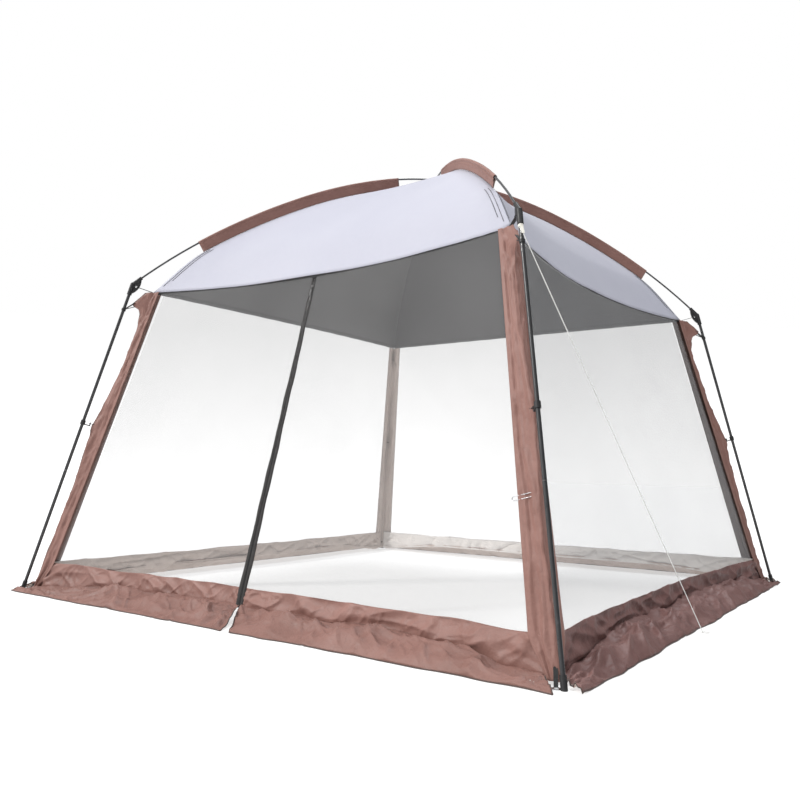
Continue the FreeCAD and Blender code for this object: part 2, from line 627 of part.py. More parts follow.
# ---------------------------------------------------------------- foot rings and their tabs
rings, tabs = [], []
for c in corners:
    # beside the leg, clear of the line that the leg leans along, so that a peg goes straight down
    off = 26.0 / R2
    ctr = c.at(v("foot_half") * R2 - off, 0) - c.n * off
    c.ring = ctr
    rings.append(Part.makeCylinder(v("ring_outer_r"), v("ring_plate"), ctr).cut(Part.makeCylinder(v("ring_hole_r"), v("ring_plate") + 2, ctr - Vector(0, 0, 1))))
    aim = c.at(half_at(58.0) * R2 + 3.4, 0) - ctr
    aim = Vector(aim.x, aim.y, 0).normalize()
    across = Vector(0, 0, 1).cross(aim)
    a = ctr + aim * (v("ring_outer_r") + 2.8) + Vector(0, 0, 1.2)
    b = c.at(half_at(58.0) * R2 + 3.4, 58.0)
    d = (b - a).normalize()
    nz = across.cross(d).normalize()
    if nz.dot(c.d) < 0:
        nz = nz * -1
    tabs.append(slab(a - across * 7, across, d, nz, 14, (b - a).Length - 1.0, 1.6))
    print("ring centre", c.name, [round(q, 2) for q in ctr])
keep(solid(Part.makeCompound(rings), "rings"), "foot_rings")
keep(solid(Part.makeCompound(tabs), "tabs"), "foot_ring_tabs")

# ---------------------------------------------------------------- guy line on the front right corner
c = fr
strap_top = c.top - c.up * 40 + c.d * 14
strap_low = c.top - c.up * 118 + c.d * 22
# webbing strap: a collar under the elbow and a tail to the rope's knot
p = c.top - c.up * (v("elbow_reach") + 9)
collar = Part.makeCylinder(10.2, 12, p - c.up * 6, c.up).cut(Part.makeCylinder(v("leg_outer_r") + 0.1, 14, p - c.up * 7, c.up))
tail_end = p + c.d * 20 - c.up * 36
d = (tail_end - (p + c.d * 9)).normalize()
nz = d.cross(c.n).normalize()
tail = slab(p + c.d * 9 - c.n * 6 - nz * 0.8, c.n, d, nz, 12, (tail_end - (p + c.d * 9)).Length, 1.6)
keep(solid(good(collar.fuse(tail).Solids[0], "strap"), "strap"), "guy_strap")
a = tail_end + d * 0.4
b = Vector(v("guy_end_x"), v("guy_end_y"), 9.5)
dd = (b - a).normalize()
rope_from, rope_to = a + dd * 2.2, b
line = cylinder(rope_from, dd, "Sizes.guy_r", "%f" % (rope_to - rope_from).Length, "rope")
keep(line, "guy_line")
print("rope from", [round(q, 2) for q in rope_from], "to", [round(q, 2) for q in rope_to], "length", round((rope_to - rope_from).Length, 1))
flat = Vector(dd.x, dd.y, 0).normalize()
loop_c = rope_to + flat * 19.0
loop_c.z = 2.0
loop = Part.makeTorus(15.0, 1.9, loop_c)
knot = Part.makeSphere(4.4, rope_to + flat * 3.0 - Vector(0, 0, 4.4))
loop = loop.fuse(knot)
keep(solid(good(loop.Solids[0] if len(loop.Solids) == 1 else loop, "loop"), "loop"), "guy_end_loop")
print("loop solids", len(loop.Solids), "zmin", round(loop.BoundBox.ZMin, 3))

# ---------------------------------------------------------------- wire clip across the front right column
c = fr
z_t = 556.0
h = half_at(z_t)
w_here = v("column_low_w") + (v("column_top_w") - v("column_low_w")) * z_t / v("roof_corner_z")
face_n = Vector(0, -v("roof_corner_z"), -(v("base_half") - v("roof_half"))).normalize()  # outward of the leaning face
face_n = Vector(0, -1, -(-(v("base_half") - v("roof_half")) / v("roof_corner_z")) * -1).normalize()
run_up = Vector(0, (v("base_half") - v("roof_half")), v("roof_corner_z")).normalize()
face_n = Vector(1, 0, 0).cross(run_up)
if face_n.y > 0:
    face_n = face_n * -1
left = Vector(h - w_here - 14, -h, z_t - 8) + face_n * 4.3
right = Vector(h - 4, -h, z_t + 14) + face_n * 4.3
e1 = (right - left).normalize()
e2 = face_n.cross(e1).normalize()
L, wd, rr = (right - left).Length, 7.0, 1.5
m = [left + e2 * wd, right + e2 * wd, right - e2 * wd, left - e2 * wd]
e_long1 = Part.LineSegment(m[0], m[1]).toShape()
arc1 = Part.Arc(m[1], right + e1 * wd, m[2]).toShape()
e_long2 = Part.LineSegment(m[2], m[3]).toShape()
arc2 = Part.Arc(m[3], left - e1 * wd, m[0]).toShape()
path = Part.Wire([e_long1, arc1, e_long2, arc2])
ring = Part.Wire([Part.Circle(m[0], e1, rr).toShape()])
wireclip = path.makePipeShell([ring], True, True)
if not wireclip.isValid() or wireclip.Volume <= 0:
    c1 = Part.makeCylinder(rr, L, m[0], e1)
    c2 = Part.makeCylinder(rr, L, m[3], e1)
    t1 = Part.makeTorus(wd, rr, right, face_n)
    t2 = Part.makeTorus(wd, rr, left, face_n)
    wireclip = c1.fuse([c2, t1, t2])
keep(solid(good(wireclip, "tieback").Solids[0], "tieback"), "tieback_clip")

# ---------------------------------------------------------------- checks and files
doc.recompute()
bad = []
for o in doc.Objects:
    if "Invalid" in o.State or "Error" in o.State:
        bad.append((o.Name, o.State))
for o in nodes:
    s = o.Shape
    if s.isNull() or not s.isValid() or not s.Solids or s.Volume <= 0:
        bad.append((o.Label, "bad shape"))
if bad:
    for b in bad:
        print("FAILED", b)
    sys.exit(1)
labels = [o.Label for o in nodes]
if len(set(labels)) != len(labels):
    raise SystemExit("two sub-parts share a label")
os.makedirs("parts", exist_ok=True)
box = FreeCAD.BoundBox()
for o in nodes:
    o.Shape.exportStep(os.path.join("parts", o.Label + ".step"))
    box.add(o.Shape.BoundBox)
    print("%-30s solids %2d  volume %10.0f mm3" % (o.Label, len(o.Shape.Solids), o.Shape.Volume))
print("nodes", len(nodes), "box", [round(q, 1) for q in (box.XMin, box.YMin, box.ZMin, box.XMax, box.YMax, box.ZMax)])
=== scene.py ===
import bpy, bmesh, json, math
import numpy as np
from mathutils import Vector, Matrix


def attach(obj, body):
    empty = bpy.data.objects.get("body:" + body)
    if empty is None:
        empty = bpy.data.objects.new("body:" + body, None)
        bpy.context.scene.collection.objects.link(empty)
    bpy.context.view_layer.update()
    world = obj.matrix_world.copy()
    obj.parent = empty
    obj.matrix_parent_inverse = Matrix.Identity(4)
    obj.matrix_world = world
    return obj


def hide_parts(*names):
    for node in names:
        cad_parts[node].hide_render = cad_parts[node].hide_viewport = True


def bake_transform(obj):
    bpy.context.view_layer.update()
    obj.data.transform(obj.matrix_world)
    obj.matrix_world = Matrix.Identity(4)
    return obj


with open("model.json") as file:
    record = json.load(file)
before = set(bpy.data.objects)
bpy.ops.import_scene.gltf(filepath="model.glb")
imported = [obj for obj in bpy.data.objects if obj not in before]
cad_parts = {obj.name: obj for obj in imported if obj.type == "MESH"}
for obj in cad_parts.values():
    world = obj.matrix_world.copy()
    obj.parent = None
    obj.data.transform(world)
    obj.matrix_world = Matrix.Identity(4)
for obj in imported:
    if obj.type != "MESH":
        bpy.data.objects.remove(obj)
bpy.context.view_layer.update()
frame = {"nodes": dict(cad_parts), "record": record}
NODES = frame["nodes"]
ROOT = "frame_and_cloth"
SC = bpy.context.scene
R2 = math.sqrt(2.0)

# ------------------------------------------------------------------ camera, light, floor
def make_camera():
    cx, cy, f = 419.62, 399.0, 783.19
    yaw, pitch, roll = math.radians(124.91), math.radians(5.22), math.radians(0.91)
    pos = Vector((1.6654, -2.4658, 0.426)) * 1.5
    fw = Vector((math.cos(pitch) * math.cos(yaw), math.cos(pitch) * math.sin(yaw), math.sin(pitch)))
    rt = Vector((math.sin(yaw), -math.cos(yaw), 0.0))
    up = rt.cross(fw)
    r2 = rt * math.cos(roll) + up * math.sin(roll)
    u2 = up * math.cos(roll) - rt * math.sin(roll)
    m = Matrix(((r2.x, u2.x, -fw.x, pos.x), (r2.y, u2.y, -fw.y, pos.y), (r2.z, u2.z, -fw.z, pos.z), (0, 0, 0, 1)))
    data = bpy.data.cameras.new("camera")
    data.lens = f / 800 * 36.0
    data.sensor_width = 36.0
    data.shift_x = (400 - cx) / 800
    data.shift_y = (cy - 400) / 800
    data.clip_start, data.clip_end = 0.05, 100
    cam = bpy.data.objects.new("camera", data)
    SC.collection.objects.link(cam)
    cam.matrix_world = m
    SC.camera = cam


def make_world():
    """White surroundings for the eye; the light itself comes mostly from the front left."""
    w = bpy.data.worlds.new("studio")
    SC.world = w
    w.use_nodes = True
    nt = w.node_tree
    bg = nt.nodes["Background"]
    bg.inputs["Strength"].default_value = 1.0
    tc = nt.nodes.new("ShaderNodeTexCoord")
    dot = nt.nodes.new("ShaderNodeVectorMath")
    dot.operation = "DOT_PRODUCT"
    dot.inputs[1].default_value = (-0.50, -0.62, 0.60)
    nt.links.new(tc.outputs["Generated"], dot.inputs[0])
    r = nt.nodes.new("ShaderNodeMapRange")
    r.inputs["From Min"].default_value = -0.35
    r.inputs["From Max"].default_value = 0.9
    r.inputs["To Min"].default_value = 0.10
    r.inputs["To Max"].default_value = 0.72
    nt.links.new(dot.outputs["Value"], r.inputs["Value"])
    lp = nt.nodes.new("ShaderNodeLightPath")
    mx = nt.nodes.new("ShaderNodeMix")
    mx.data_type = "RGBA"
    nt.links.new(lp.outputs["Is Camera Ray"], mx.inputs["Factor"])
    nt.links.new(r.outputs["Result"], mx.inputs["A"])
    sep = nt.nodes.new("ShaderNodeSeparateXYZ")
    nt.links.new(tc.outputs["Generated"], sep.inputs[0])
    up = nt.nodes.new("ShaderNodeMapRange")
    up.inputs["From Min"].default_value = 0.0
    up.inputs["From Max"].default_value = 0.17
    up.inputs["To Min"].default_value = 1.36
    up.inputs["To Max"].default_value = 1.0
    nt.links.new(sep.outputs["Z"], up.inputs["Value"])
    nt.links.new(up.outputs["Result"], mx.inputs["B"])
    nt.links.new(mx.outputs["Result"], bg.inputs["Color"])

    def sun(name, direction, strength, angle, color):
        d = bpy.data.lights.new(name, "SUN")
        d.energy, d.angle, d.color = strength, math.radians(angle), color
        o = bpy.data.objects.new(name, d)
        SC.collection.objects.link(o)
        o.rotation_mode = "QUATERNION"
        o.rotation_quaternion = Vector(direction).normalized().to_track_quat("-Z", "Y")
    sun("key", (0.49, 0.62, -0.62), 2.4, 7, (1.0, 0.985, 0.965))
    sun("top", (-0.10, -0.20, -0.97), 2.45, 28, (0.95, 0.975, 1.0))
    SC.view_settings.view_transform = "Standard"
    SC.view_settings.look = "None"


def make_floor():
    me = bpy.data.meshes.new("floor")
    k = 40.0
    me.from_pydata([(-k, -k, -0.0006), (k, -k, -0.0006), (k, k, -0.0006), (-k, k, -0.0006)], [], [(0, 1, 2, 3)])
    o = bpy.data.objects.new("floor", me)
    SC.collection.objects.link(o)
    m = bpy.data.materials.new("floor_white")
    m.use_nodes = True
    b = m.node_tree.nodes["Principled BSDF"]
    b.inputs["Base Color"].default_value = (0.46, 0.46, 0.46, 1)
    b.inputs["Roughness"].default_value = 0.9
    b.inputs["Specular IOR Level"].default_value = 0.1
    b.inputs["Emission Color"].default_value = (1, 1, 1, 1)
    b.inputs["Emission Strength"].default_value = 0.60
    me.materials.append(m)


make_camera()
make_world()
make_floor()

# ------------------------------------------------------------------ noise, deterministic
_rng = np.random.RandomState(7)
_PERM = _rng.permutation(256)
_PERM = np.concatenate([_PERM, _PERM])
_G = _rng.normal(size=(256, 3))
_G /= np.linalg.norm(_G, axis=1)[:, None]


def noise(p, scale=1.0, seed=0.0):
    """Gradient noise, about -1 to 1, for an array of points (..., 3)."""
    q = np.asarray(p, float) * scale + seed * 17.13
    i = np.floor(q).astype(int)
    f = q - i
    w = f * f * f * (f * (f * 6 - 15) + 10)
    out = 0.0
    for dx in (0, 1):
        for dy in (0, 1):
            for dz in (0, 1):
                h = _PERM[(_PERM[(_PERM[(i[..., 0] + dx) & 255] + i[..., 1] + dy) & 255] + i[..., 2] + dz) & 255]
                g = _G[h]
                d = g[..., 0] * (f[..., 0] - dx) + g[..., 1] * (f[..., 1] - dy) + g[..., 2] * (f[..., 2] - dz)
                wx = w[..., 0] if dx else 1 - w[..., 0]
                wy = w[..., 1] if dy else 1 - w[..., 1]
                wz = w[..., 2] if dz else 1 - w[..., 2]
                out = out + d * wx * wy * wz
    return out * 1.6


def ridged(p, scale, seed=0.0):
    """Sharp-crested folds, 0 to 1."""
    return (1 - np.minimum(1, np.abs(noise(p, scale, seed)) * 2.2)) ** 2


def smooth(x, a, b):
    t = np.clip((np.asarray(x, float) - a) / (b - a), 0, 1)
    return t * t * (3 - 2 * t)


# ------------------------------------------------------------------ materials
def principled(name, rough=0.6, spec=0.5, metallic=0.0, sheen=0.0, coat=0.0, alpha=1.0):
    m = bpy.data.materials.new(name)
    m.use_nodes = True
    nt = m.node_tree
    b = nt.nodes["Principled BSDF"]
    b.inputs["Roughness"].default_value = rough
    b.inputs["Specular IOR Level"].default_value = spec
    b.inputs["Metallic"].default_value = metallic
    b.inputs["Sheen Weight"].default_value = sheen
    b.inputs["Coat Weight"].default_value = coat
    b.inputs["Alpha"].default_value = alpha
    tc = nt.nodes.new("ShaderNodeTexCoord")
    return m, nt, b, tc


def ramp(nt, src, stops):
    r = nt.nodes.new("ShaderNodeValToRGB")
    while len(r.color_ramp.elements) < len(stops):
        r.color_ramp.elements.new(0.5)
    for e, (pos, col) in zip(r.color_ramp.elements, stops):
        e.position = pos
        e.color = (*col, 1) if len(col) == 3 else col
    nt.links.new(src, r.inputs["Fac"])
    return r


def noise_node(nt, tc, scale, detail=3.0, rough=0.55, distort=0.0, stretch=None):
    n = nt.nodes.new("ShaderNodeTexNoise")
    n.inputs["Scale"].default_value = scale
    n.inputs["Detail"].default_value = detail
    n.inputs["Roughness"].default_value = rough
    n.inputs["Distortion"].default_value = distort
    src = tc.outputs["Object"]
    if stretch:
        mp = nt.nodes.new("ShaderNodeMapping")
        mp.inputs["Scale"].default_value = stretch
        nt.links.new(src, mp.inputs["Vector"])
        src = mp.outputs["Vector"]
    nt.links.new(src, n.inputs["Vector"])
    return n


def weave(nt, tc, scale):
    """Two crossed sets of threads, as a height."""
    outs = []
    for direction in ("X", "Z"):
        w = nt.nodes.new("ShaderNodeTexWave")
        w.wave_type = "BANDS"
        w.bands_direction = direction
        w.inputs["Scale"].default_value = scale
        w.inputs["Distortion"].default_value = 0.6
        w.inputs["Detail"].default_value = 1.0
        nt.links.new(tc.outputs["Object"], w.inputs["Vector"])
        outs.append(w)
    mx = nt.nodes.new("ShaderNodeMath")
    mx.operation = "MAXIMUM"
    nt.links.new(outs[0].outputs["Fac"], mx.inputs[0])
    nt.links.new(outs[1].outputs["Fac"], mx.inputs[1])
    return mx.outputs[0]


def bump(nt, b, height, strength, distance, before=None):
    n = nt.nodes.new("ShaderNodeBump")
    n.inputs["Strength"].default_value = strength
    n.inputs["Distance"].default_value = distance
    nt.links.new(height, n.inputs["Height"])
    if before is not None:
        nt.links.new(before.outputs["Normal"], n.inputs["Normal"])
    nt.links.new(n.outputs["Normal"], b.inputs["Normal"])
    return n


def cloth_mat(name, dark, light, threads=260.0, rough=0.62, sheen=0.15, crumple=0.35, patch=3.0, spec=0.35, alpha=1.0):
    m, nt, b, tc = principled(name, rough, spec, 0.0, sheen, 0.0, alpha)
    big = noise_node(nt, tc, patch, 4.0, 0.6)
    small = noise_node(nt, tc, 42.0, 5.0, 0.65)
    mix = nt.nodes.new("ShaderNodeMath")
    mix.operation = "MULTIPLY_ADD"
    mix.inputs[1].default_value = 0.35
    nt.links.new(small.outputs["Fac"], mix.inputs[0])
    mul = nt.nodes.new("ShaderNodeMath")
    mul.operation = "MULTIPLY"
    mul.inputs[1].default_value = 0.65
    nt.links.new(big.outputs["Fac"], mul.inputs[0])
    nt.links.new(mul.outputs[0], mix.inputs[2])
    mid = tuple((a + c) / 2 for a, c in zip(dark, light))
    r = ramp(nt, mix.outputs[0], [(0.32, dark), (0.5, mid), (0.7, light)])
    nt.links.new(r.outputs["Color"], b.inputs["Base Color"])
    rr = ramp(nt, small.outputs["Fac"], [(0.3, (rough - 0.08,) * 3), (0.7, (min(1, rough + 0.1),) * 3)])
    nt.links.new(rr.outputs["Color"], b.inputs["Roughness"])
    first = bump(nt, b, small.outputs["Fac"], crumple, 0.004)
    bump(nt, b, weave(nt, tc, threads), 0.12, 0.0004, first)
    return m


def net_mat(name, tint, alpha):
    """Fine netting, far smaller than a pixel from here: its cover comes through alpha."""
    m, nt, b, tc = principled(name, 0.85, 0.1, 0.0, 0.1, 0.0, alpha)
    big = noise_node(nt, tc, 1.6, 3.0, 0.5)
    r = ramp(nt, big.outputs["Fac"], [(0.3, tuple(c * 0.965 for c in tint)), (0.7, tint)])
    nt.links.new(r.outputs["Color"], b.inputs["Base Color"])
    rr = ramp(nt, big.outputs["Fac"], [(0.25, (alpha - 0.018,) * 3), (0.75, (alpha + 0.018,) * 3)])
    nt.links.new(rr.outputs["Color"], b.inputs["Alpha"])
    bump(nt, b, weave(nt, tc, 420.0), 0.15, 0.0003)
    m.blend_method = "BLEND" if hasattr(m, "blend_method") else m.blend_method
    return m


def hard_mat(name, color, rough=0.4, metallic=0.0, spec=0.5, coat=0.0, wear=(0.1, 0.1, 0.1), grain=160.0, grain_bump=0.06):
    m, nt, b, tc = principled(name, rough, spec, metallic, 0.0, coat)
    n1 = noise_node(nt, tc, 24.0, 6.0, 0.7)
    n2 = noise_node(nt, tc, grain, 2.0, 0.5)
    r = ramp(nt, n1.outputs["Fac"], [(0.0, color), (0.66, tuple(c * 1.12 for c in color)), (0.8, wear)])
    nt.links.new(r.outputs["Color"], b.inputs["Base Color"])
    rr = ramp(nt, n1.outputs["Fac"], [(0.3, (max(0.03, rough - 0.06),) * 3), (0.75, (min(1, rough + 0.14),) * 3)])
    nt.links.new(rr.outputs["Color"], b.inputs["Roughness"])
    bump(nt, b, n2.outputs["Fac"], grain_bump, 0.0006)
    return m


M = {
    "leg_steel": hard_mat("powder_coat", (0.018, 0.019, 0.021), 0.32, 0.0, 0.6, 0.25, (0.05, 0.052, 0.055), 900, 0.05),
    "bare_steel": hard_mat("bare_steel", (0.55, 0.55, 0.54), 0.3, 1.0, 0.5, 0.0, (0.42, 0.41, 0.4), 300, 0.04),
    "black_plastic": hard_mat("moulded_black", (0.014, 0.014, 0.015), 0.48, 0.0, 0.45, 0.0, (0.035, 0.035, 0.036), 700, 0.1),
    "pole_fibreglass": hard_mat("fibreglass_rod", (0.03, 0.031, 0.034), 0.3, 0.0, 0.5, 0.3, (0.06, 0.06, 0.062), 500, 0.05),
    "roof_out": cloth_mat("roof_outside", (0.405, 0.408, 0.480), (0.462, 0.465, 0.528), 260, 0.55, 0.05, 0.10, 1.2, 0.25),
    "roof_in": cloth_mat("roof_inside_coating", (0.040, 0.038, 0.039), (0.061, 0.058, 0.057), 260, 0.6, 0.0, 0.12, 1.2, 0.2),
    "brown": cloth_mat("brown_polyester", (0.205, 0.101, 0.082), (0.290, 0.155, 0.130), 260, 0.5, 0.05, 0.75, 4.0, 0.35),
    "brown_in": cloth_mat("brown_inside", (0.47, 0.385, 0.34), (0.57, 0.48, 0.43), 260, 0.6, 0.1, 0.3, 4.0, 0.25),
    "piping": cloth_mat("dark_piping", (0.05, 0.032, 0.028), (0.085, 0.055, 0.048), 600, 0.7, 0.1, 0.3, 20.0, 0.3),
    "black_webbing": cloth_mat("black_webbing", (0.012, 0.012, 0.012), (0.03, 0.03, 0.031), 500, 0.7, 0.1, 0.3, 30.0, 0.3),
    "cream_webbing": cloth_mat("cream_webbing", (0.62, 0.60, 0.53), (0.78, 0.76, 0.70), 500, 0.75, 0.2, 0.3, 30.0, 0.3),
    "white_cord": cloth_mat("white_braid", (0.72, 0.72, 0.70), (0.88, 0.88, 0.86), 700, 0.7, 0.2, 0.5, 60.0, 0.3),
    "zip_tape": cloth_mat("zip_tape_cloth", (0.012, 0.011, 0.011), (0.03, 0.027, 0.027), 600, 0.65, 0.05, 0.3, 30.0, 0.35),
    "zip_metal": hard_mat("zip_painted_metal", (0.02, 0.02, 0.021), 0.3, 0.3, 0.5, 0.3, (0.12, 0.12, 0.12), 300, 0.05),
    "ring_metal": hard_mat("nickel_plate", (0.46, 0.46, 0.47), 0.2, 1.0, 0.5, 0.0, (0.2, 0.2, 0.2), 300, 0.03),
    "seam_thread": cloth_mat("seam_thread", (0.10, 0.10, 0.11), (0.17, 0.17, 0.185), 600, 0.7, 0.0, 0.3, 20.0, 0.2),
    "net": net_mat("white_netting", (0.47, 0.47, 0.475), 0.115),
    # painted shade: a darker, denser copy of the netting for the right wall, which faces away from the light
    "net_painted_shade": net_mat("white_netting_side", (0.43, 0.43, 0.435), 0.20),
    "brown_skirt": cloth_mat("brown_skirt_cloth", (0.172, 0.083, 0.066), (0.250, 0.130, 0.108), 260, 0.5, 0.05, 0.9, 4.0, 0.35),
    # painted shade: a darker copy of the brown cloth for the right side, which faces away from the light
    "brown_painted_shade_side": cloth_mat("brown_side_cloth", (0.130, 0.062, 0.056), (0.188, 0.098, 0.088), 260, 0.5, 0.05, 0.9, 4.0, 0.35),
    # painted shade: darker copies of the brown cloth's inner face, for column insides in half shade and in deep shade
    "brown_in_painted_half_shade": cloth_mat("brown_inside_mid", (0.150, 0.085, 0.070), (0.230, 0.140, 0.118), 260, 0.6, 0.05, 0.3, 4.0, 0.25),
    "brown_in_painted_deep_shade": cloth_mat("brown_inside_shade", (0.050, 0.028, 0.023), (0.095, 0.055, 0.046), 260, 0.6, 0.0, 0.3, 4.0, 0.2),
    # painted light: a much lighter copy of the brown cloth's inner face, for the back band's inside, where light comes
    # through the cloth from behind
    "brown_in_painted_light": cloth_mat("brown_inside_lit", (0.66, 0.62, 0.59), (0.76, 0.72, 0.69), 260, 0.6, 0.1, 0.3, 4.0, 0.25),
    # painted shade: a darker, duller copy of the roof's inner coating, for the back panel's underside, which lies in
    # shade
    "roof_in_painted_shade": cloth_mat("roof_inside_shade", (0.028, 0.026, 0.028), (0.042, 0.040, 0.041), 260, 0.88, 0.0, 0.12, 1.2, 0.02),
}
SLOT_MAT = {"white_net": "net", "roof_cloth": "roof_out", "brown_cloth": "brown"}
for s in frame["record"]["subparts"]:
    o = NODES[s["node"]]
    key = s["material_slot"]
    mat = M[SLOT_MAT.get(key, key)]
    o.data.materials.clear()
    o.data.materials.append(mat)

# ------------------------------------------------------------------ the design's shape, in metres
FOOT, APEX, SPLIT, SEC = 1.5, 2.334, 0.0056, 0.521
BENDS = [(1.5, SEC / 2), (2.3, SEC), (3.7, SEC), (3.15, SEC)]
ROOF_H, ROOF_Z, BOW, SAG = 1.095, 1.580, 0.115, 0.022
DROP, SL0, SL1 = 0.052, 0.215, 1.322
BASE_H, BASE_BOW, BAND_T, BAND_B = 1.457, 0.057, 0.140, 0.052
COL_T, COL_B = 0.055, 0.085
ZIPX = -0.020
SKIRT_OUT = 1.562


def arch_arcs(lift):
    out, s, z, th = [], 0.0, APEX + lift, 0.0
    for r, length in BENDS:
        cs, cz = s - r * math.sin(th), z - r * math.cos(th)
        th2 = th + length / r
        out.append(((s, z), (cs + r * math.sin(th2), cz + r * math.cos(th2)), (cs, cz), r, th, th2))
        s, z, th = cs + r * math.sin(th2), cz + r * math.cos(th2), th2
    return out


def arch_at(s, lift):
    for (a, b, c, r, t1, t2) in arch_arcs(lift):
        if s <= b[0] + 1e-9:
            th = math.asin((s - c[0]) / r)
            return c[1] + r * math.cos(th), th
    (a, b, c, r, t1, t2) = arch_arcs(lift)[-1]
    return b[1] - (s - b[0]) * math.tan(t2), t2


def seam(s):
    z_end, th_end = arch_at(SL1, 0)
    s_e, z_e = SL1 - DROP * math.sin(th_end), z_end - DROP * math.cos(th_end)
    if s <= s_e:
        z, th = arch_at(s, 0)
        return z - DROP / math.cos(th)
    s_c = ROOF_H * R2
    u = (s - s_e) / (s_c - s_e)
    m0, m1 = -math.tan(th_end) * (s_c - s_e), -0.98 * (s_c - s_e)
    return ((2 * u**3 - 3 * u**2 + 1) * z_e + (u**3 - 2 * u**2 + u) * m0
            + (-2 * u**3 + 3 * u**2) * ROOF_Z + (u**3 - u**2) * m1)


SIDES = {"front": (np.array([0, -1.0, 0]), np.array([1.0, 0, 0])), "right": (np.array([1.0, 0, 0]), np.array([0, 1.0, 0])),
         "back": (np.array([0, 1.0, 0]), np.array([-1.0, 0, 0])), "left": (np.array([-1.0, 0, 0]), np.array([0, -1.0, 0]))}
UP = np.array([0, 0, 1.0])


def roof_point(side, u, s):
    out, run = SIDES[side]
    f = s / (ROOF_H * R2)
    half = s / R2
    k = f**1.6 * (1 - u * u)
    return out * (half - BOW * k) + run * (half * u) + UP * (seam(s) - SAG * k)


def eave(side, u):
    return roof_point(side, u, ROOF_H * R2)


def wall(side, u, z):
    out, run = SIDES[side]
    lo = out * (BASE_H - BASE_BOW * (1 - u * u)) + run * (BASE_H * u)
    hi = eave(side, u)
    return lo + (hi - lo) * (z / hi[2])


CORNERS = {"front_left": (-1, -1), "front_right": (1, -1), "back_right": (1, 1), "back_left": (-1, 1)}


def corner_dirs(name):
    sx, sy = CORNERS[name]
    d = np.array([sx / R2, sy / R2, 0.0])
    return d, np.cross(UP, d), (SPLIT if sx == sy else -SPLIT)


# ------------------------------------------------------------------ mesh helpers
def new_object(name, verts, faces, mats, face_mat=None, smooth_shade=True):
    me = bpy.data.meshes.new(name)
    me.from_pydata([tuple(map(float, v)) for v in verts], [], [tuple(f) for f in faces])
    for m in mats:
        me.materials.append(m)
    if face_mat is not None:
        me.polygons.foreach_set("material_index", list(face_mat))
    me.polygons.foreach_set("use_smooth", [smooth_shade] * len(me.polygons))
    me.update()
    o = bpy.data.objects.new(name, me)
    SC.collection.objects.link(o)
    return o


def grid_faces(nu, nv, close_u=False):
    f = []
    for i in range(nu - 1 + (1 if close_u else 0)):
        for j in range(nv - 1):
            a, b = i * nv + j, ((i + 1) % nu) * nv + j
            f.append((a, b, b + 1, a + 1))
    return f


def sheet_from_grid(name, P, thick, mats, flip=False, inward=False):
    """A thin closed cloth shell from a grid of points: outer face, inner face and rim."""
    P = np.asarray(P, float)
    nu, nv = P.shape[:2]
    du = np.gradient(P, axis=0)
    dv = np.gradient(P, axis=1)
    n = np.cross(du, dv)
    n /= np.maximum(np.linalg.norm(n, axis=2), 1e-12)[..., None]
    if flip:
        n = -n
    outer = P + n * (thick / 2)
    inner = P - n * (thick / 2)
    verts = np.concatenate([outer.reshape(-1, 3), inner.reshape(-1, 3)])
    k = nu * nv
    faces, mi = [], []
    # both faces are split along the same diagonals, so the thin shell never crosses itself
    tris = [t for a, b, c, d in grid_faces(nu, nv) for t in ((a, b, c), (a, c, d))]
    for f in tris:
        faces.append(f if not flip else f[::-1]); mi.append(0)
    for f in tris:
        g = tuple(x + k for x in (f[::-1] if not flip else f))
        faces.append(g); mi.append(1 if len(mats) > 1 else 0)
    rim = [i * nv for i in range(nu)] + [(nu - 1) * nv + j for j in range(1, nv)] + [i * nv + nv - 1 for i in range(nu - 2, -1, -1)] + [j for j in range(nv - 2, 0, -1)]
    for a, b in zip(rim, rim[1:] + rim[:1]):
        q = (a, a + k, b + k, b)
        faces.append(q if not flip else q[::-1]); mi.append(len(mats) - 1 if len(mats) > 2 else 0)
    o = new_object(name, verts, faces, mats, mi)
    return o


def cut_size(P, spare=1.0):
    """The cut's width and length, from a strip's grid of points."""
    P = np.asarray(P, float)
    a = float(np.linalg.norm(np.diff(P, axis=0), axis=2).sum(0).mean())
    b = float(np.linalg.norm(np.diff(P, axis=1), axis=2).sum(1).mean())
    return (max(0.0101, round(min(a, b) * spare, 4)), round(max(a, b) * spare, 3))


def area_of(P):
    P = np.asarray(P, float)
    a = np.cross(P[1:, :-1] - P[:-1, :-1], P[:-1, 1:] - P[:-1, :-1])
    b = np.cross(P[1:, :-1] - P[1:, 1:], P[:-1, 1:] - P[1:, 1:])
    return float((np.linalg.norm(a, axis=2).sum() + np.linalg.norm(b, axis=2).sum()) / 2)


def tube(name, pts, radius, mat, n=10, cap=True):
    """A round bar along points, with end caps."""
    pts = np.asarray(pts, float)
    t = np.gradient(pts, axis=0)
    t /= np.linalg.norm(t, axis=1)[:, None]
    ref = np.array([0, 0, 1.0]) if abs(t[0][2]) < 0.9 else np.array([1.0, 0, 0])
    a = np.cross(t[0], ref); a /= np.linalg.norm(a)
    verts, faces = [], []
    for i in range(len(pts)):
        a = a - t[i] * (a @ t[i]); a /= np.linalg.norm(a)
        b = np.cross(t[i], a)
        r = radius[i] if hasattr(radius, "__len__") else radius
        for k in range(n):
            th = 2 * math.pi * k / n
            verts.append(pts[i] + (a * math.cos(th) + b * math.sin(th)) * r)
    for i in range(len(pts) - 1):
        for k in range(n):
            p, q = i * n + k, i * n + (k + 1) % n
            faces.append((p, q, q + n, p + n))
    if cap:
        faces.append(tuple(range(n))[::-1])
        faces.append(tuple((len(pts) - 1) * n + k for k in range(n)))
    return new_object(name, verts, faces, [mat])


BUILT = []


def place(o, body, slot, *nodes):
    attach(o, body)
    if nodes:
        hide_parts(*nodes)
    BUILT.append(o)
    return o


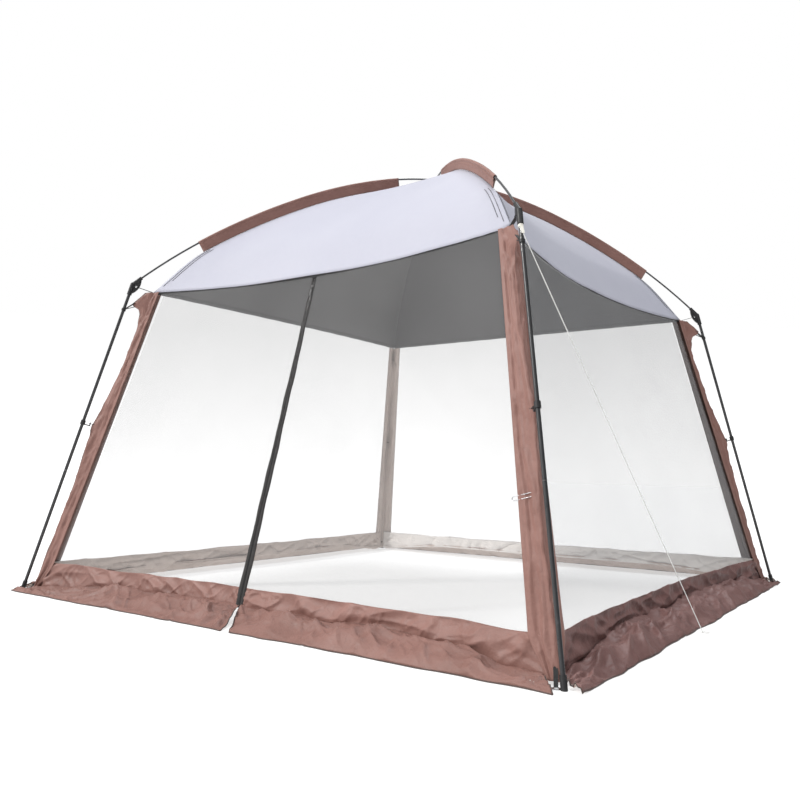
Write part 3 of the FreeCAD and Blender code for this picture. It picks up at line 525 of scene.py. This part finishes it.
# ------------------------------------------------------------------ roof canopy
def build_roof():
    nu, ns = 41, 56
    us = np.sin(np.linspace(-math.pi / 2, math.pi / 2, nu))
    us = 0.5 * us + 0.5 * np.linspace(-1, 1, nu)
    svals = np.concatenate([np.linspace(0.012, 1.2, ns - 18), np.linspace(1.2, ROOF_H * R2, 19)[1:]])
    verts, faces, index = [], [], {}

    def vid(p):
        key = (round(p[0], 5), round(p[1], 5), round(p[2], 5))
        if key not in index:
            index[key] = len(verts)
            verts.append(p)
        return index[key]

    for side in SIDES:
        P = np.array([[roof_point(side, u, s) for s in svals] for u in us])
        f = svals / (ROOF_H * R2)
        U, F = np.meshgrid(us, f, indexing="ij")
        # cloth relief: shallow tension folds that run from the corners along the eave, a little
        # slackness in the field; nothing at the seams and at the eave's own edge line
        corner = np.exp(-((1 - np.abs(U)) * F / 0.22) ** 2) * smooth(F, 0.55, 0.95)
        fold = np.sin((1 - np.abs(U)) * F * 95 + 3 * noise(P, 2.0, 1)) * corner * 0.0022
        slack = noise(P, 1.7, 2) * 0.010 * (1 - U**2) * F + noise(P, 5.0, 3) * 0.0025 * (1 - U**2) * F
        edge = (1 - U**2) ** 0.35
        du, dv = np.gradient(P, axis=0), np.gradient(P, axis=1)
        n = np.cross(dv, du)
        n /= np.linalg.norm(n, axis=2)[..., None]
        if n[nu // 2, ns // 2][2] < 0:
            n = -n
        P = P + n * ((fold * edge + slack)[..., None])
        ids = [[vid(P[i, j]) for j in range(len(svals))] for i in range(nu)]
        for i in range(nu - 1):
            for j in range(len(svals) - 1):
                q = (ids[i][j], ids[i][j + 1], ids[i + 1][j + 1], ids[i + 1][j])
                if len(set(q)) == 4:
                    faces.append(q)
    # close the crown
    ring = [vid(roof_point(side, -1, svals[0])) for side in SIDES]
    top = len(verts)
    verts.append(np.array([0, 0, seam(0.0)]))
    inner_rows = []
    for side in SIDES:
        pts = [vid(roof_point(side, u, svals[0]) + 0) if abs(abs(u) - 1) < 1e-9 else None for u in us]
    me = bpy.data.meshes.new("roof_cloth")
    me.from_pydata([tuple(map(float, v)) for v in verts], [], faces)
    bm = bmesh.new()
    bm.from_mesh(me)
    bmesh.ops.remove_doubles(bm, verts=bm.verts, dist=2e-5)
    # fill the small hole at the crown
    loop = [e for e in bm.edges if e.is_boundary and all(v.co.xy.length < 0.03 for v in e.verts)]
    if loop:
        bmesh.ops.holes_fill(bm, edges=loop, sides=0)
    loose = [v for v in bm.verts if not v.link_faces]
    bmesh.ops.delete(bm, geom=loose, context="VERTS")
    bmesh.ops.recalc_face_normals(bm, faces=bm.faces)
    bm.to_mesh(me)
    bm.free()
    if sum(p.normal.z for p in me.polygons) < 0:
        me.flip_normals()
    me.polygons.foreach_set("use_smooth", [True] * len(me.polygons))
    o = bpy.data.objects.new("roof_cloth", me)
    SC.collection.objects.link(o)
    me.materials.append(M["roof_out"])
    me.materials.append(M["roof_in"])
    me.materials.append(M["roof_out"])
    me.materials.append(M["roof_in_painted_shade"])
    # painted shade: the back panel's faces take slot 2, so the solidify gives their inner face slot 3, the
    # painted-shade copy of the roof's inside
    for p in me.polygons:
        if p.center.y > abs(p.center.x):
            p.material_index = 2
    sol = o.modifiers.new("cloth", "SOLIDIFY")
    sol.thickness = 0.0014
    sol.offset = -1
    sol.material_offset = 1
    sol.material_offset_rim = 0
    place(o, ROOT, "roof_cloth", "roof_canopy")
    return o


# black tape sewn round the roof's edge
def build_eave_tape():
    for side in SIDES:
        out, run = SIDES[side]
        us = np.linspace(-0.995, 0.995, 61)
        P = []
        for u in us:
            e = eave(side, u)
            tang = np.array([0, 0, 1.0])
            row = []
            for (o_, z_) in ((-0.0150, 0.0010), (-0.0085, -0.0008), (-0.0040, -0.0018), (-0.0008, -0.0026), (0.0012, -0.0040), (0.0010, -0.0066)):
                w = 0.0012 * math.sin(u * 60) * (1 - abs(u))
                row.append(e + out * (o_ + w * 0.3) + UP * (z_ + 0.0006 * math.sin(u * 41 + len(side))))
            P.append(row)
        o = sheet_from_grid("eave_tape_" + side, P, 0.0012, [M["black_webbing"]], flip=False)
        if side == "front":
            place(o, ROOT, "black_webbing", "eave_binding")
        else:
            place(o, ROOT, "black_webbing")
        sheet_sizes[o.name] = cut_size(P)


def build_sleeves():
    for name in CORNERS:
        d, n, lift = corner_dirs(name)
        ns = 90
        ss = np.linspace(SL0, SL1, ns)
        rows = []
        for i, s in enumerate(ss):
            z, th = arch_at(s, lift)
            z0, th0 = arch_at(s, 0)
            axis_p = d * s + UP * z
            down = -(d * math.sin(th) + UP * math.cos(th))         # square to the arch, inwards
            side = n
            low_c = d * (s - (DROP - 0.001) * math.sin(th0)) + UP * (z0 - (DROP - 0.001) * math.cos(th0))
            r = 0.0079
            row = []
            fl = np.array([s * 1.0, lift * 400, 0.3])
            ripple = float(noise(np.array([[s, 0.1 * (name == "front_left") + 0.3 * (name == "back_right"), 0]]), 13.0, 5)[0])
            # left web side, up round the pole, right web side down
            for t in np.linspace(0, 1, 7)[:-1]:
                p = low_c + (axis_p + down * 0.004 - low_c) * t
                off = 0.0012 + 0.0040 * math.sin(math.pi * t) * (0.45 + 0.7 * float(noise(np.array([[s, t * 0.05, 1.0]]), 9.0, 6)[0])) + (r - 0.0012) * smooth(t, 0.55, 1.0)
                row.append(p - side * off)
            for a in np.linspace(-0.35 * math.pi, 1.35 * math.pi, 11):
                row.append(axis_p + (side * -math.cos(a) - down * math.sin(a)) * r * (1 + 0.05 * ripple))
            for t in np.linspace(1, 0, 7)[1:]:
                p = low_c + (axis_p + down * 0.004 - low_c) * t
                off = 0.0012 + 0.0040 * math.sin(math.pi * t) * (0.45 + 0.7 * float(noise(np.array([[s, t * 0.05, 4.0]]), 9.0, 6)[0])) + (r - 0.0012) * smooth(t, 0.55, 1.0)
                row.append(p + side * off)
            rows.append(row)
        o = sheet_from_grid("sleeve_cloth_" + name, rows, 0.0009, [M["brown"], M["brown_in"], M["piping"]], flip=False)
        place(o, ROOT, "brown_cloth", "pole_sleeve_" + name)
        sheet_sizes[o.name] = cut_size(rows)


# ------------------------------------------------------------------ corner columns
def build_columns():
    E_s, clip_z = 1.6579, 0.865
    for name, (sx, sy) in CORNERS.items():
        d, n, lift = corner_dirs(name)
        na, nz = 33, 150
        A = np.linspace(-1, 1, na)
        Z = np.concatenate([np.linspace(0.010, 0.20, 24), np.linspace(0.20, 1.38, 90)[1:], np.linspace(1.38, ROOF_Z - 0.004, nz - 104)[1:]])
        ear_z, ear_s = 1.498, 1.6358
        P = np.zeros((na, len(Z), 3))
        for j, z in enumerate(Z):
            h = BASE_H + (ROOF_H - BASE_H) * z / ROOF_Z
            w = (COL_B + (COL_T - COL_B) * z / ROOF_Z) * min(1.0, 0.30 + 0.70 * z / 0.125)
            ridge = np.array([sx * h, sy * h, z])
            # the ear: the ridge is drawn out to the clip on the leg
            s_r = h * R2
            # how far the ridge is drawn out: at the foot, by the mid clip's loop, and at the ear
            pull = float(np.interp(z, (0.0, 0.06, 0.50, 0.727, 0.80, 0.849, 0.90, 1.056, 1.168, 1.308, 1.40, 1.455, 1.482, 1.500, 1.515, 1.545, 1.578),
                                   (0.010, 0.012, 0.018, 0.030, 0.038, 0.046, 0.036, 0.018, 0.011, 0.008, 0.010, 0.024, 0.042, 0.076, 0.082, 0.062, 0.040)))
            for i, a in enumerate(A):
                ww = w * abs(a)
                if a < 0:
                    p = ridge + np.array([-sx * ww, 0, 0])
                else:
                    p = ridge + np.array([0, -sy * ww, 0])
                k = max(0.0, 1 - abs(a) / (0.62 if z < 1.42 else 0.42)) ** (1.6 if z < 1.42 else 1.25)
                soft = 0.0035 * (1 - math.exp(-(abs(a) / 0.12) ** 2)) - 0.0035   # the ridge is rounded
                p = p + d * (pull * k + soft + 0.001)
                P[i, j] = p
        AA, ZZ = np.meshgrid(A, Z, indexing="ij")
        normal = np.where((AA < 0)[..., None], np.array([0, sy, 0.0]), np.array([sx, 0, 0.0]))
        q = np.stack([AA * 0.9 + sx * 3 + sy * 5, ZZ * 0.8, np.zeros_like(AA)], -1)
        inner = 1 - np.abs(AA) ** 6
        long_folds = (ridged(np.stack([AA * 1.0 + ZZ * 0.18 + sx * 3, ZZ * 0.55 + sy * 4, AA * 0], -1), 3.6, 11) - 0.35) * 0.011
        cross = (ridged(np.stack([AA * 0.30 + ZZ * 1.6 * np.sign(AA + 1e-9), ZZ * 3.2 - np.abs(AA) * 0.8, AA * 0 + sx + 2 * sy], -1), 3.2, 12) - 0.3) * 0.006
        near_ear = np.exp(-((ZZ - 1.47) / 0.10) ** 2)
        ear_folds = np.sin(np.abs(AA) * 11 + (ZZ - 1.498) * 60) * 0.0035 * near_ear
        near_foot = np.exp(-((ZZ - 0.05) / 0.16) ** 2)
        foot_folds = np.sin(AA * 16 + noise(q, 5.0, 13) * 2) * 0.004 * near_foot
        near_clip = np.exp(-((ZZ - clip_z) / 0.14) ** 2)
        clip_folds = np.sin(np.abs(AA) * 7 + np.abs(ZZ - clip_z) * 70) * 0.0022 * near_clip
        disp = (long_folds + cross + ear_folds + foot_folds + clip_folds) * inner + noise(q, 14.0, 14) * 0.0012 * inner
        edge_lim = np.where(np.abs(AA) > 0.70, 0.0, -0.006)
        disp = np.maximum(disp * 0.9, edge_lim)
        P = P + normal * (disp + 0.0028 + 0.0016 * (1 - smooth(ZZ, 0.13, 0.19)))[..., None]
        # painted shade: each column's inner face gets a copy of the inside cloth darkened by how much shade falls on
        # it; back_left keeps the plain inside cloth
        inner_painted_shade = {"back_left": "brown_in", "back_right": "brown_in_painted_deep_shade", "front_left": "brown_in_painted_half_shade"}.get(name, "brown_in_painted_half_shade")
        o = sheet_from_grid("column_cloth_" + name, P, 0.0011, [M["brown"], M[inner_painted_shade], M["brown"]], flip=(sx * sy > 0))
        place(o, ROOT, "brown_cloth", "corner_column_" + name)
        sheet_sizes[o.name] = cut_size(P)


# ------------------------------------------------------------------ net walls
U_NET = 0.94166 - 0.001


def net_range(side, part):
    if part == "left":
        return -U_NET - 0.004, None
    return None


def build_nets():
    jobs = [("mesh_wall_right", "right", None), ("mesh_wall_back", "back", None), ("mesh_wall_left", "left", None),
            ("mesh_door_left", "front", -1), ("mesh_door_right", "front", 1)]
    for node, side, part in jobs:
        out, run = SIDES[side]
        nu, nz = (90 if part is None else 60), 60
        z0 = BAND_T - 0.004
        P = np.zeros((nu, nz, 3))
        for i in range(nu):
            t = i / (nu - 1)
            for j in range(nz):
                v = j / (nz - 1)
                # the door's edge stays on the straight zip
                zmax = 1.0
                if part is None:
                    u = -1 * (U_NET + 0.006) + 2 * (U_NET + 0.006) * t
                    top = eave(side, u)
                    z = z0 + (top[2] - 0.003 - z0) * v
                    p = wall(side, u, z)
                else:
                    z_guess = z0 + (1.55 - z0) * v
                    half_u = BASE_H + (ROOF_H - BASE_H) * z_guess / ROOF_Z
                    uz = (ZIPX + part * 0.012) / half_u
                    u = (-(U_NET + 0.006) + (uz + (U_NET + 0.006)) * t) if part < 0 else (uz + ((U_NET + 0.006) - uz) * t)
                    top = eave(side, u)
                    z = z0 + (top[2] - 0.003 - z0) * v
                    p = wall(side, u, z)
                P[i, j] = p
        T, V = np.meshgrid(np.linspace(0, 1, nu), np.linspace(0, 1, nz), indexing="ij")
        edge = (np.sin(np.pi * T) ** 0.5) * (np.sin(np.pi * V) ** 0.6)
        relief = noise(P * np.array([1, 1, 0.35]), 2.2, 21) * 0.010 + noise(P * np.array([1, 1, 0.5]), 6.0, 22) * 0.003
        P = P + out * (relief * edge - 0.0006)[..., None]
        # painted shade: the right wall gets the darker painted-shade copy of the netting
        o = sheet_from_grid(node + "_net", P, 0.0006, [M["net_painted_shade"] if side == "right" else M["net"]], flip=False)
        if part is None:
            place(o, ROOT, "white_net", node)
        else:
            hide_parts(node)
            on_door(o, node)


def crease(u):
    """Height of the seam between the band and the skirt: it sinks to the ground at the legs."""
    return 0.062 - 0.048 * float(smooth(abs(u), 0.55, 1.0))


def crumple(x, h, key, amount=1.0):
    """Relief of loose polyester at distance x along a wall and h across it."""
    c = np.clip(x / 1.42, -1, 1)
    slope = np.sign(c) * np.abs(c) ** 1.5 * 1.1
    xs = x - slope * h
    z = x * 0 + key
    big = ridged(np.stack([xs * 1.0, h * 1.4, z], -1), 2.6, 31) - 0.3
    mid = ridged(np.stack([xs * 1.0 + h * 0.9, h * 1.2, z + 3], -1), 6.0, 32) - 0.3
    cross = ridged(np.stack([xs * 0.45 - h * 0.8, h * 2.2, z + 5], -1), 5.2, 33) - 0.3
    fine = ridged(np.stack([x * 1.0 - h * 0.7, h * 1.1, z + 7], -1), 14.0, 34) - 0.3
    return amount * (big * 0.017 + mid * 0.016 + cross * 0.014 + fine * 0.006)


JOBS = [("right", "right", None), ("back", "back", None), ("left", "left", None),
        ("front_left", "front", -1), ("front_right", "front", 1)]
KEYS = {"front": 0.0, "right": 10.0, "back": 20.0, "left": 30.0}


def on_door(o, node):
    """Cloth of a door half: its transform is baked into its mesh and it joins the built pieces."""
    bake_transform(o)
    BUILT.append(o)


def build_bands():
    for label, side, part in JOBS:
        node = "wall_band_" + label
        out, run = SIDES[side]
        key = KEYS[side]
        nu, nz = (300 if part is None else 170), 24
        lim = U_NET + 0.050
        P = np.zeros((nu, nz, 3))
        for i in range(nu):
            t = i / (nu - 1)
            if part is None:
                u = -lim + 2 * lim * t
            else:
                uz = (ZIPX + part * 0.004) / 1.44
                u = (-lim + (uz + lim) * t) if part < 0 else (uz + (lim - uz) * t)
            for j in range(nz):
                v = j / (nz - 1)
                z = crease(u) - 0.004 + (BAND_T - crease(u) + 0.004) * v
                P[i, j] = wall(side, u, z)
        V = np.broadcast_to(np.linspace(0, 1, nz), (nu, nz))
        x = P @ run
        near_zip = np.exp(-((x - ZIPX) / 0.16) ** 2) if side == "front" else 0 * x
        folds = crumple(x, P[..., 2], key, 0.95)
        ends = np.clip((1.43 - np.abs(x)) / 0.06, 0, 1)
        if side == "front":
            ends = ends * (1 - np.exp(-((x - ZIPX) / 0.034) ** 2))
        edge = (0.10 * (1 - smooth(V, 0, 0.1)) + 0.15 * V + 0.85 * np.sin(np.pi * np.clip(V, 0, 1)) ** 0.6)
        radial = np.sin((P[..., 2] - 0.02) / np.maximum(np.abs(np.abs(x) - 1.47), 0.04) * 16 + 5 * noise(np.stack([x, x * 0, x * 0 + key], -1), 3, 37)) * 0.0035 * smooth(np.abs(x), 0.9, 1.35)
        zipf = np.sin((P[..., 2] - 0.05) / np.maximum(np.abs(x - ZIPX), 0.02) * 6) * 0.004 * near_zip
        gut = -0.0015 * np.exp(-(V / 0.10) ** 2)         # the seam pulls the cloth in
        P = P + out * ((folds * edge + radial * edge + zipf * edge + gut) * ends + 0.0020)[..., None]
        P[..., 2] += (noise(np.stack([x, x * 0 + key, x * 0], -1), 5.0, 34) * 0.005 + ridged(np.stack([x, x * 0 + key, x * 0], -1), 4.0, 36) * 0.004 - 0.002) * V
        # painted shade and painted light: the right band's outer face is the darker painted-shade copy, the back band's
        # inner face the lighter painted-light copy
        o = sheet_from_grid(node + "_cloth", P, 0.0011, [M["brown_painted_shade_side"] if side == "right" else M["brown"], M["brown_in_painted_light"] if side == "back" else M["brown_in"], M["brown"]], flip=False)
        w = float(np.linalg.norm(np.diff(P[:, 0], axis=0), axis=1).sum())
        if part is None:
            place(o, ROOT, "brown_cloth", node)
        else:
            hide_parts(node)
            on_door(o, node)
        sheet_sizes[o.name] = (round(w * 1.02, 2), 0.11, area_of(P))


def build_skirts():
    for label, side, part in JOBS:
        node = "ground_skirt_" + label
        out, run = SIDES[side]
        key = KEYS[side]
        nu, nt_ = (340 if part is None else 190), 30
        P = np.zeros((nu, nt_, 3))
        hem_u = np.zeros(nu)
        for i in range(nu):
            t = i / (nu - 1)
            for j in range(nt_):
                v = j / (nt_ - 1)
                if part is None:
                    u = -1 + 2 * t
                else:
                    u0 = ZIPX / 1.44 + 0.080 * v + part * (0.0015 + 0.016 * v**1.5)
                    u = (-1 + (u0 + 1) * t) if part < 0 else (u0 + (1 - u0) * t)
                uc = u * (U_NET + 0.03)
                hi = wall(side, uc, crease(uc) + 0.0005)
                reach = SKIRT_OUT - 0.004 + 0.010 * float(noise(np.array([[u * 2.2 + key, 0, 0]]), 1.6, 41)[0])
                lo = out * reach + run * (BASE_H * 1.05 * u)
                P[i, j] = hi * (1 - v) + lo * v
                P[i, j][2] = hi[2]
            hem_u[i] = u
        V = np.broadcast_to(np.linspace(0, 1, nt_), (nu, nt_))
        top = P[:, :1, 2]
        x = P @ run
        kk = np.stack([x, x * 0 + key, x * 0], -1)
        if side == "front":
            power = 1.35 + 2.6 * smooth(x, 0.05, 0.35) * (1 - smooth(x, 0.95, 1.35)) + 0.5 * noise(kk, 2.0, 42)
        else:
            power = 1.6 + 1.6 * smooth(noise(kk, 1.1, 42), -0.3, 0.4)
        z = top * (1 - V**power)
        env = np.sin(np.pi * np.clip(V, 0, 1) ** 0.8) ** 0.6
        h = V * 0.16
        z = z + (crumple(x, h, key + 50, 1.55) + 0.002) * env * (0.55 + 0.45 * smooth(top, 0.012, 0.05))
        radial = np.sin(V * 0.14 / np.maximum(np.abs(np.abs(x) - 1.47), 0.05) * 13 + 4 * noise(kk, 3, 39)) * 0.006 * smooth(np.abs(x), 0.85, 1.35)
        if side == "front":
            near = np.exp(-((x - ZIPX) / 0.20) ** 2)
            radial = radial + np.sin(np.arctan2(V * 0.14 + 0.01, np.abs(x - ZIPX) + 0.01) * 15) * 0.008 * near
        z = z + radial * env
        # pleats down to the hem, and a hem that lifts between its touching points
        pleat = ridged(kk, 7.0, 48) * 0.012 * smooth(V, 0.45, 0.9) * (1 - smooth(V, 0.97, 1.0) * 0.5)
        hem = np.maximum(0, noise(kk, 5.0, 46)) * 0.008 * smooth(V, 0.8, 1.0)
        z = np.maximum(z + (pleat - 0.003) * 0.8 + hem, 0.0014 + 0.0006 * V)
        z = z + 0.012 * (1 - smooth(V, 0.0, 0.05))
        P[..., 2] = z
        P = P - out * (0.0035 * (1 - smooth(V, 0.0, 0.06)))[..., None]
        P = P + out * ((noise(kk, 5.5, 47) * 0.010 + noise(kk, 14.0, 49) * 0.0035) * smooth(V, 0.3, 1.0))[..., None]
        # slits at the legs: wider on the side where the peg ring lies; the corners curve back
        o_, r_ = P @ out, P @ run
        round_off = 0.020 * smooth(o_, 1.50, 1.57)
        opened = smooth(o_, 1.425, 1.474)
        hi_lim = o_ - (0.004 + 0.032 * opened) * R2 - round_off
        lo_lim = -(o_ - (0.004 + 0.020 * opened) * R2 - round_off)
        r_new = np.minimum(np.maximum(r_, lo_lim), hi_lim)
        P = P + run * (r_new - r_)[..., None]
        # painted shade: the right skirt's outer face is the darker painted-shade copy of the brown cloth
        o = sheet_from_grid(node + "_cloth", P, 0.0011, [M["brown_painted_shade_side"] if side == "right" else M["brown_skirt"], M["brown_in"], M["brown"]], flip=True)
        w = float(np.linalg.norm(np.diff(P[:, 0], axis=0), axis=1).sum())
        w = max(w, float(np.abs(np.diff(P[:, -1] @ run)).sum()))
        if part is None:
            place(o, ROOT, "brown_cloth", node)
        else:
            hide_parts(node)
            on_door(o, node)
        sheet_sizes[o.name] = (round(w, 2), 0.19, area_of(P))
        # dark binding sewn over the outer hem, round the two slit edges as well
        edge_pts = np.concatenate([P[0, 6:-1:3], P[:, -1], P[-1, -2:6:-3]])
        edge_pts = edge_pts + UP * 0.0006
        edge_pts[:, 2] = np.maximum(edge_pts[:, 2], 0.0026)
        keep_pts = [edge_pts[0]]
        for q in edge_pts[1:]:
            if np.linalg.norm(q - keep_pts[-1]) > 0.004:
                keep_pts.append(q)
        pp = tube("hem_binding_" + label, keep_pts, 0.0023, M["piping"], 8)
        if part is None:
            place(pp, ROOT, "brown_cloth")
        else:
            on_door(pp, node)


# ------------------------------------------------------------------ door zip
def build_zip():
    top, foot = np.array([ZIPX, -0.98005, 1.54201]), np.array([ZIPX, -1.38492, 0.056])
    along = (foot - top) / np.linalg.norm(foot - top)
    length = float(np.linalg.norm(foot - top))
    face = np.array([0, -0.96483, 0.26287])
    n = 120
    for label, sgn in (("left", -1), ("right", 1)):
        node, body = "zip_tape_" + label, "door_edge_" + label
        rows = []
        for i in range(n):
            t = i / (n - 1)
            c = top + along * (0.004 + (length - 0.004) * t)
            half = (0.0135 + 0.0095 * t) * (0.36 + 0.64 * float(smooth(t, 0.0, 0.022)))   # cut back to clear the eave
            wob = 0.0016 * math.sin(t * 23 + sgn) + 0.0011 * math.sin(t * 57 + 2 * sgn)
            row = []
            for k, (xx, hh) in enumerate(((0.0008, 0.0010), (0.28, 0.0030), (0.52, 0.0042), (0.78, 0.0030), (0.92, 0.0012), (1.0, 0.0004))):
                xo = xx * half if k else 0.0008
                row.append(c + np.array([sgn * (xo + (wob if k > 3 else 0)), 0, 0]) + face * (hh + 0.0012))
            rows.append(row)
        o = sheet_from_grid("zip_strip_" + label, rows, 0.0012, [M["zip_tape"]], flip=(sgn > 0))
        place(o, body, "zip_tape", node)
        sheet_sizes[o.name] = cut_size(rows)
        # coil: a row of small rounded teeth along the inner edge
        pts, rad = [], []
        m = 1100
        for i in range(m):
            t = i / (m - 1)
            pts.append(top + along * (0.007 + (length - 0.011) * t) + np.array([sgn * 0.0021, 0, 0]) + face * 0.0036)
            rad.append(0.00125 + 0.00055 * (0.5 + 0.5 * math.cos(math.pi * i)))
        coil = tube("zip_coil_" + label, pts, rad, M["zip_metal"], 6)
        place(coil, body, "zip_tape")


# ------------------------------------------------------------------ guy line
def build_guy():
    start, end = Vector((1.20767, -1.20615, 1.50394)), Vector((1.592, -0.372, 0.0095))
    d = (end - start).normalized()
    pts = [start, start + d * 0.022, end - d * 0.022, end]
    cu = bpy.data.curves.new("guy_rope", "CURVE")
    cu.dimensions = "3D"
    sp = cu.splines.new("NURBS")
    sp.points.add(len(pts) - 1)
    for p_, q in zip(sp.points, pts):
        p_.co = (*q, 1)
    sp.order_u = 3
    sp.use_endpoint_u = True
    cu.bevel_depth = 0.0018
    cu.bevel_resolution = 4
    cu.use_fill_caps = True
    cu.materials.append(M["white_cord"])
    o = bpy.data.objects.new("guy_rope", cu)
    SC.collection.objects.link(o)
    place(o, ROOT, "white_cord", "guy_line")


# ------------------------------------------------------------------ stitched seams on the roof's corners
def build_corner_seams():
    for side in SIDES:
        out, run = SIDES[side]
        for sgn in (-1, 1):
            for k, off in enumerate((0.020, 0.040)):
                rows = []
                for i in range(26):
                    s_ = 1.275 + (1.515 - k * 0.03 - 1.275) * i / 25
                    half = s_ / R2
                    rows.append([roof_point(side, sgn * (1 - (off + dw) / half), s_) + UP * 0.0022 + out * 0.0006 for dw in (0.0, 0.0016, 0.0032)])
                o = sheet_from_grid("seam_%s_%s_%d" % (side, "a" if sgn < 0 else "b", k), rows, 0.0008, [M["seam_thread"]], flip=False)
                place(o, ROOT, "roof_cloth")


# ------------------------------------------------------------------ webbing from the columns' ears to the legs
def build_ear_straps():
    for name in CORNERS:
        d, n, lift = corner_dirs(name)
        foot, top = d * (FOOT * R2), d * 1.6579 + UP * (1.607 if lift < 0 else 1.6182)
        up = (top - foot) / np.linalg.norm(top - foot)
        leg = foot + up * (1.478 / up[2])
        s_tip = R2 * (BASE_H + (ROOF_H - BASE_H) * 1.512 / ROOF_Z) + 0.080
        tip = d * s_tip + UP * 1.512
        go = tip - leg
        L = np.linalg.norm(go)
        go = go / L
        side = n
        rows = []
        for i in range(14):
            t = i / 13
            c = leg + go * (0.0125 + (L + 0.012 - 0.0125) * t)
            w = 0.0085 + 0.003 * t
            lift_n = np.cross(go, side)
            rows.append([c + side * (w * q) + lift_n * (0.0012 * math.cos(q * 1.4) + 0.0006) for q in (-1, -0.5, 0, 0.5, 1)])
        o = sheet_from_grid("ear_strap_" + name, rows, 0.0022, [M["black_webbing"]], flip=False)
        place(o, ROOT, "black_webbing")
        sheet_sizes[o.name] = cut_size(rows)


sheet_sizes = {}
sheet_sizes = {}
build_roof()
build_eave_tape()
build_sleeves()
build_columns()
build_nets()
build_bands()
build_skirts()
build_zip()
build_guy()
build_corner_seams()
build_ear_straps()

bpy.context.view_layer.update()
for k_, v_ in sorted(sheet_sizes.items()):
    print("SHEET", k_, v_)
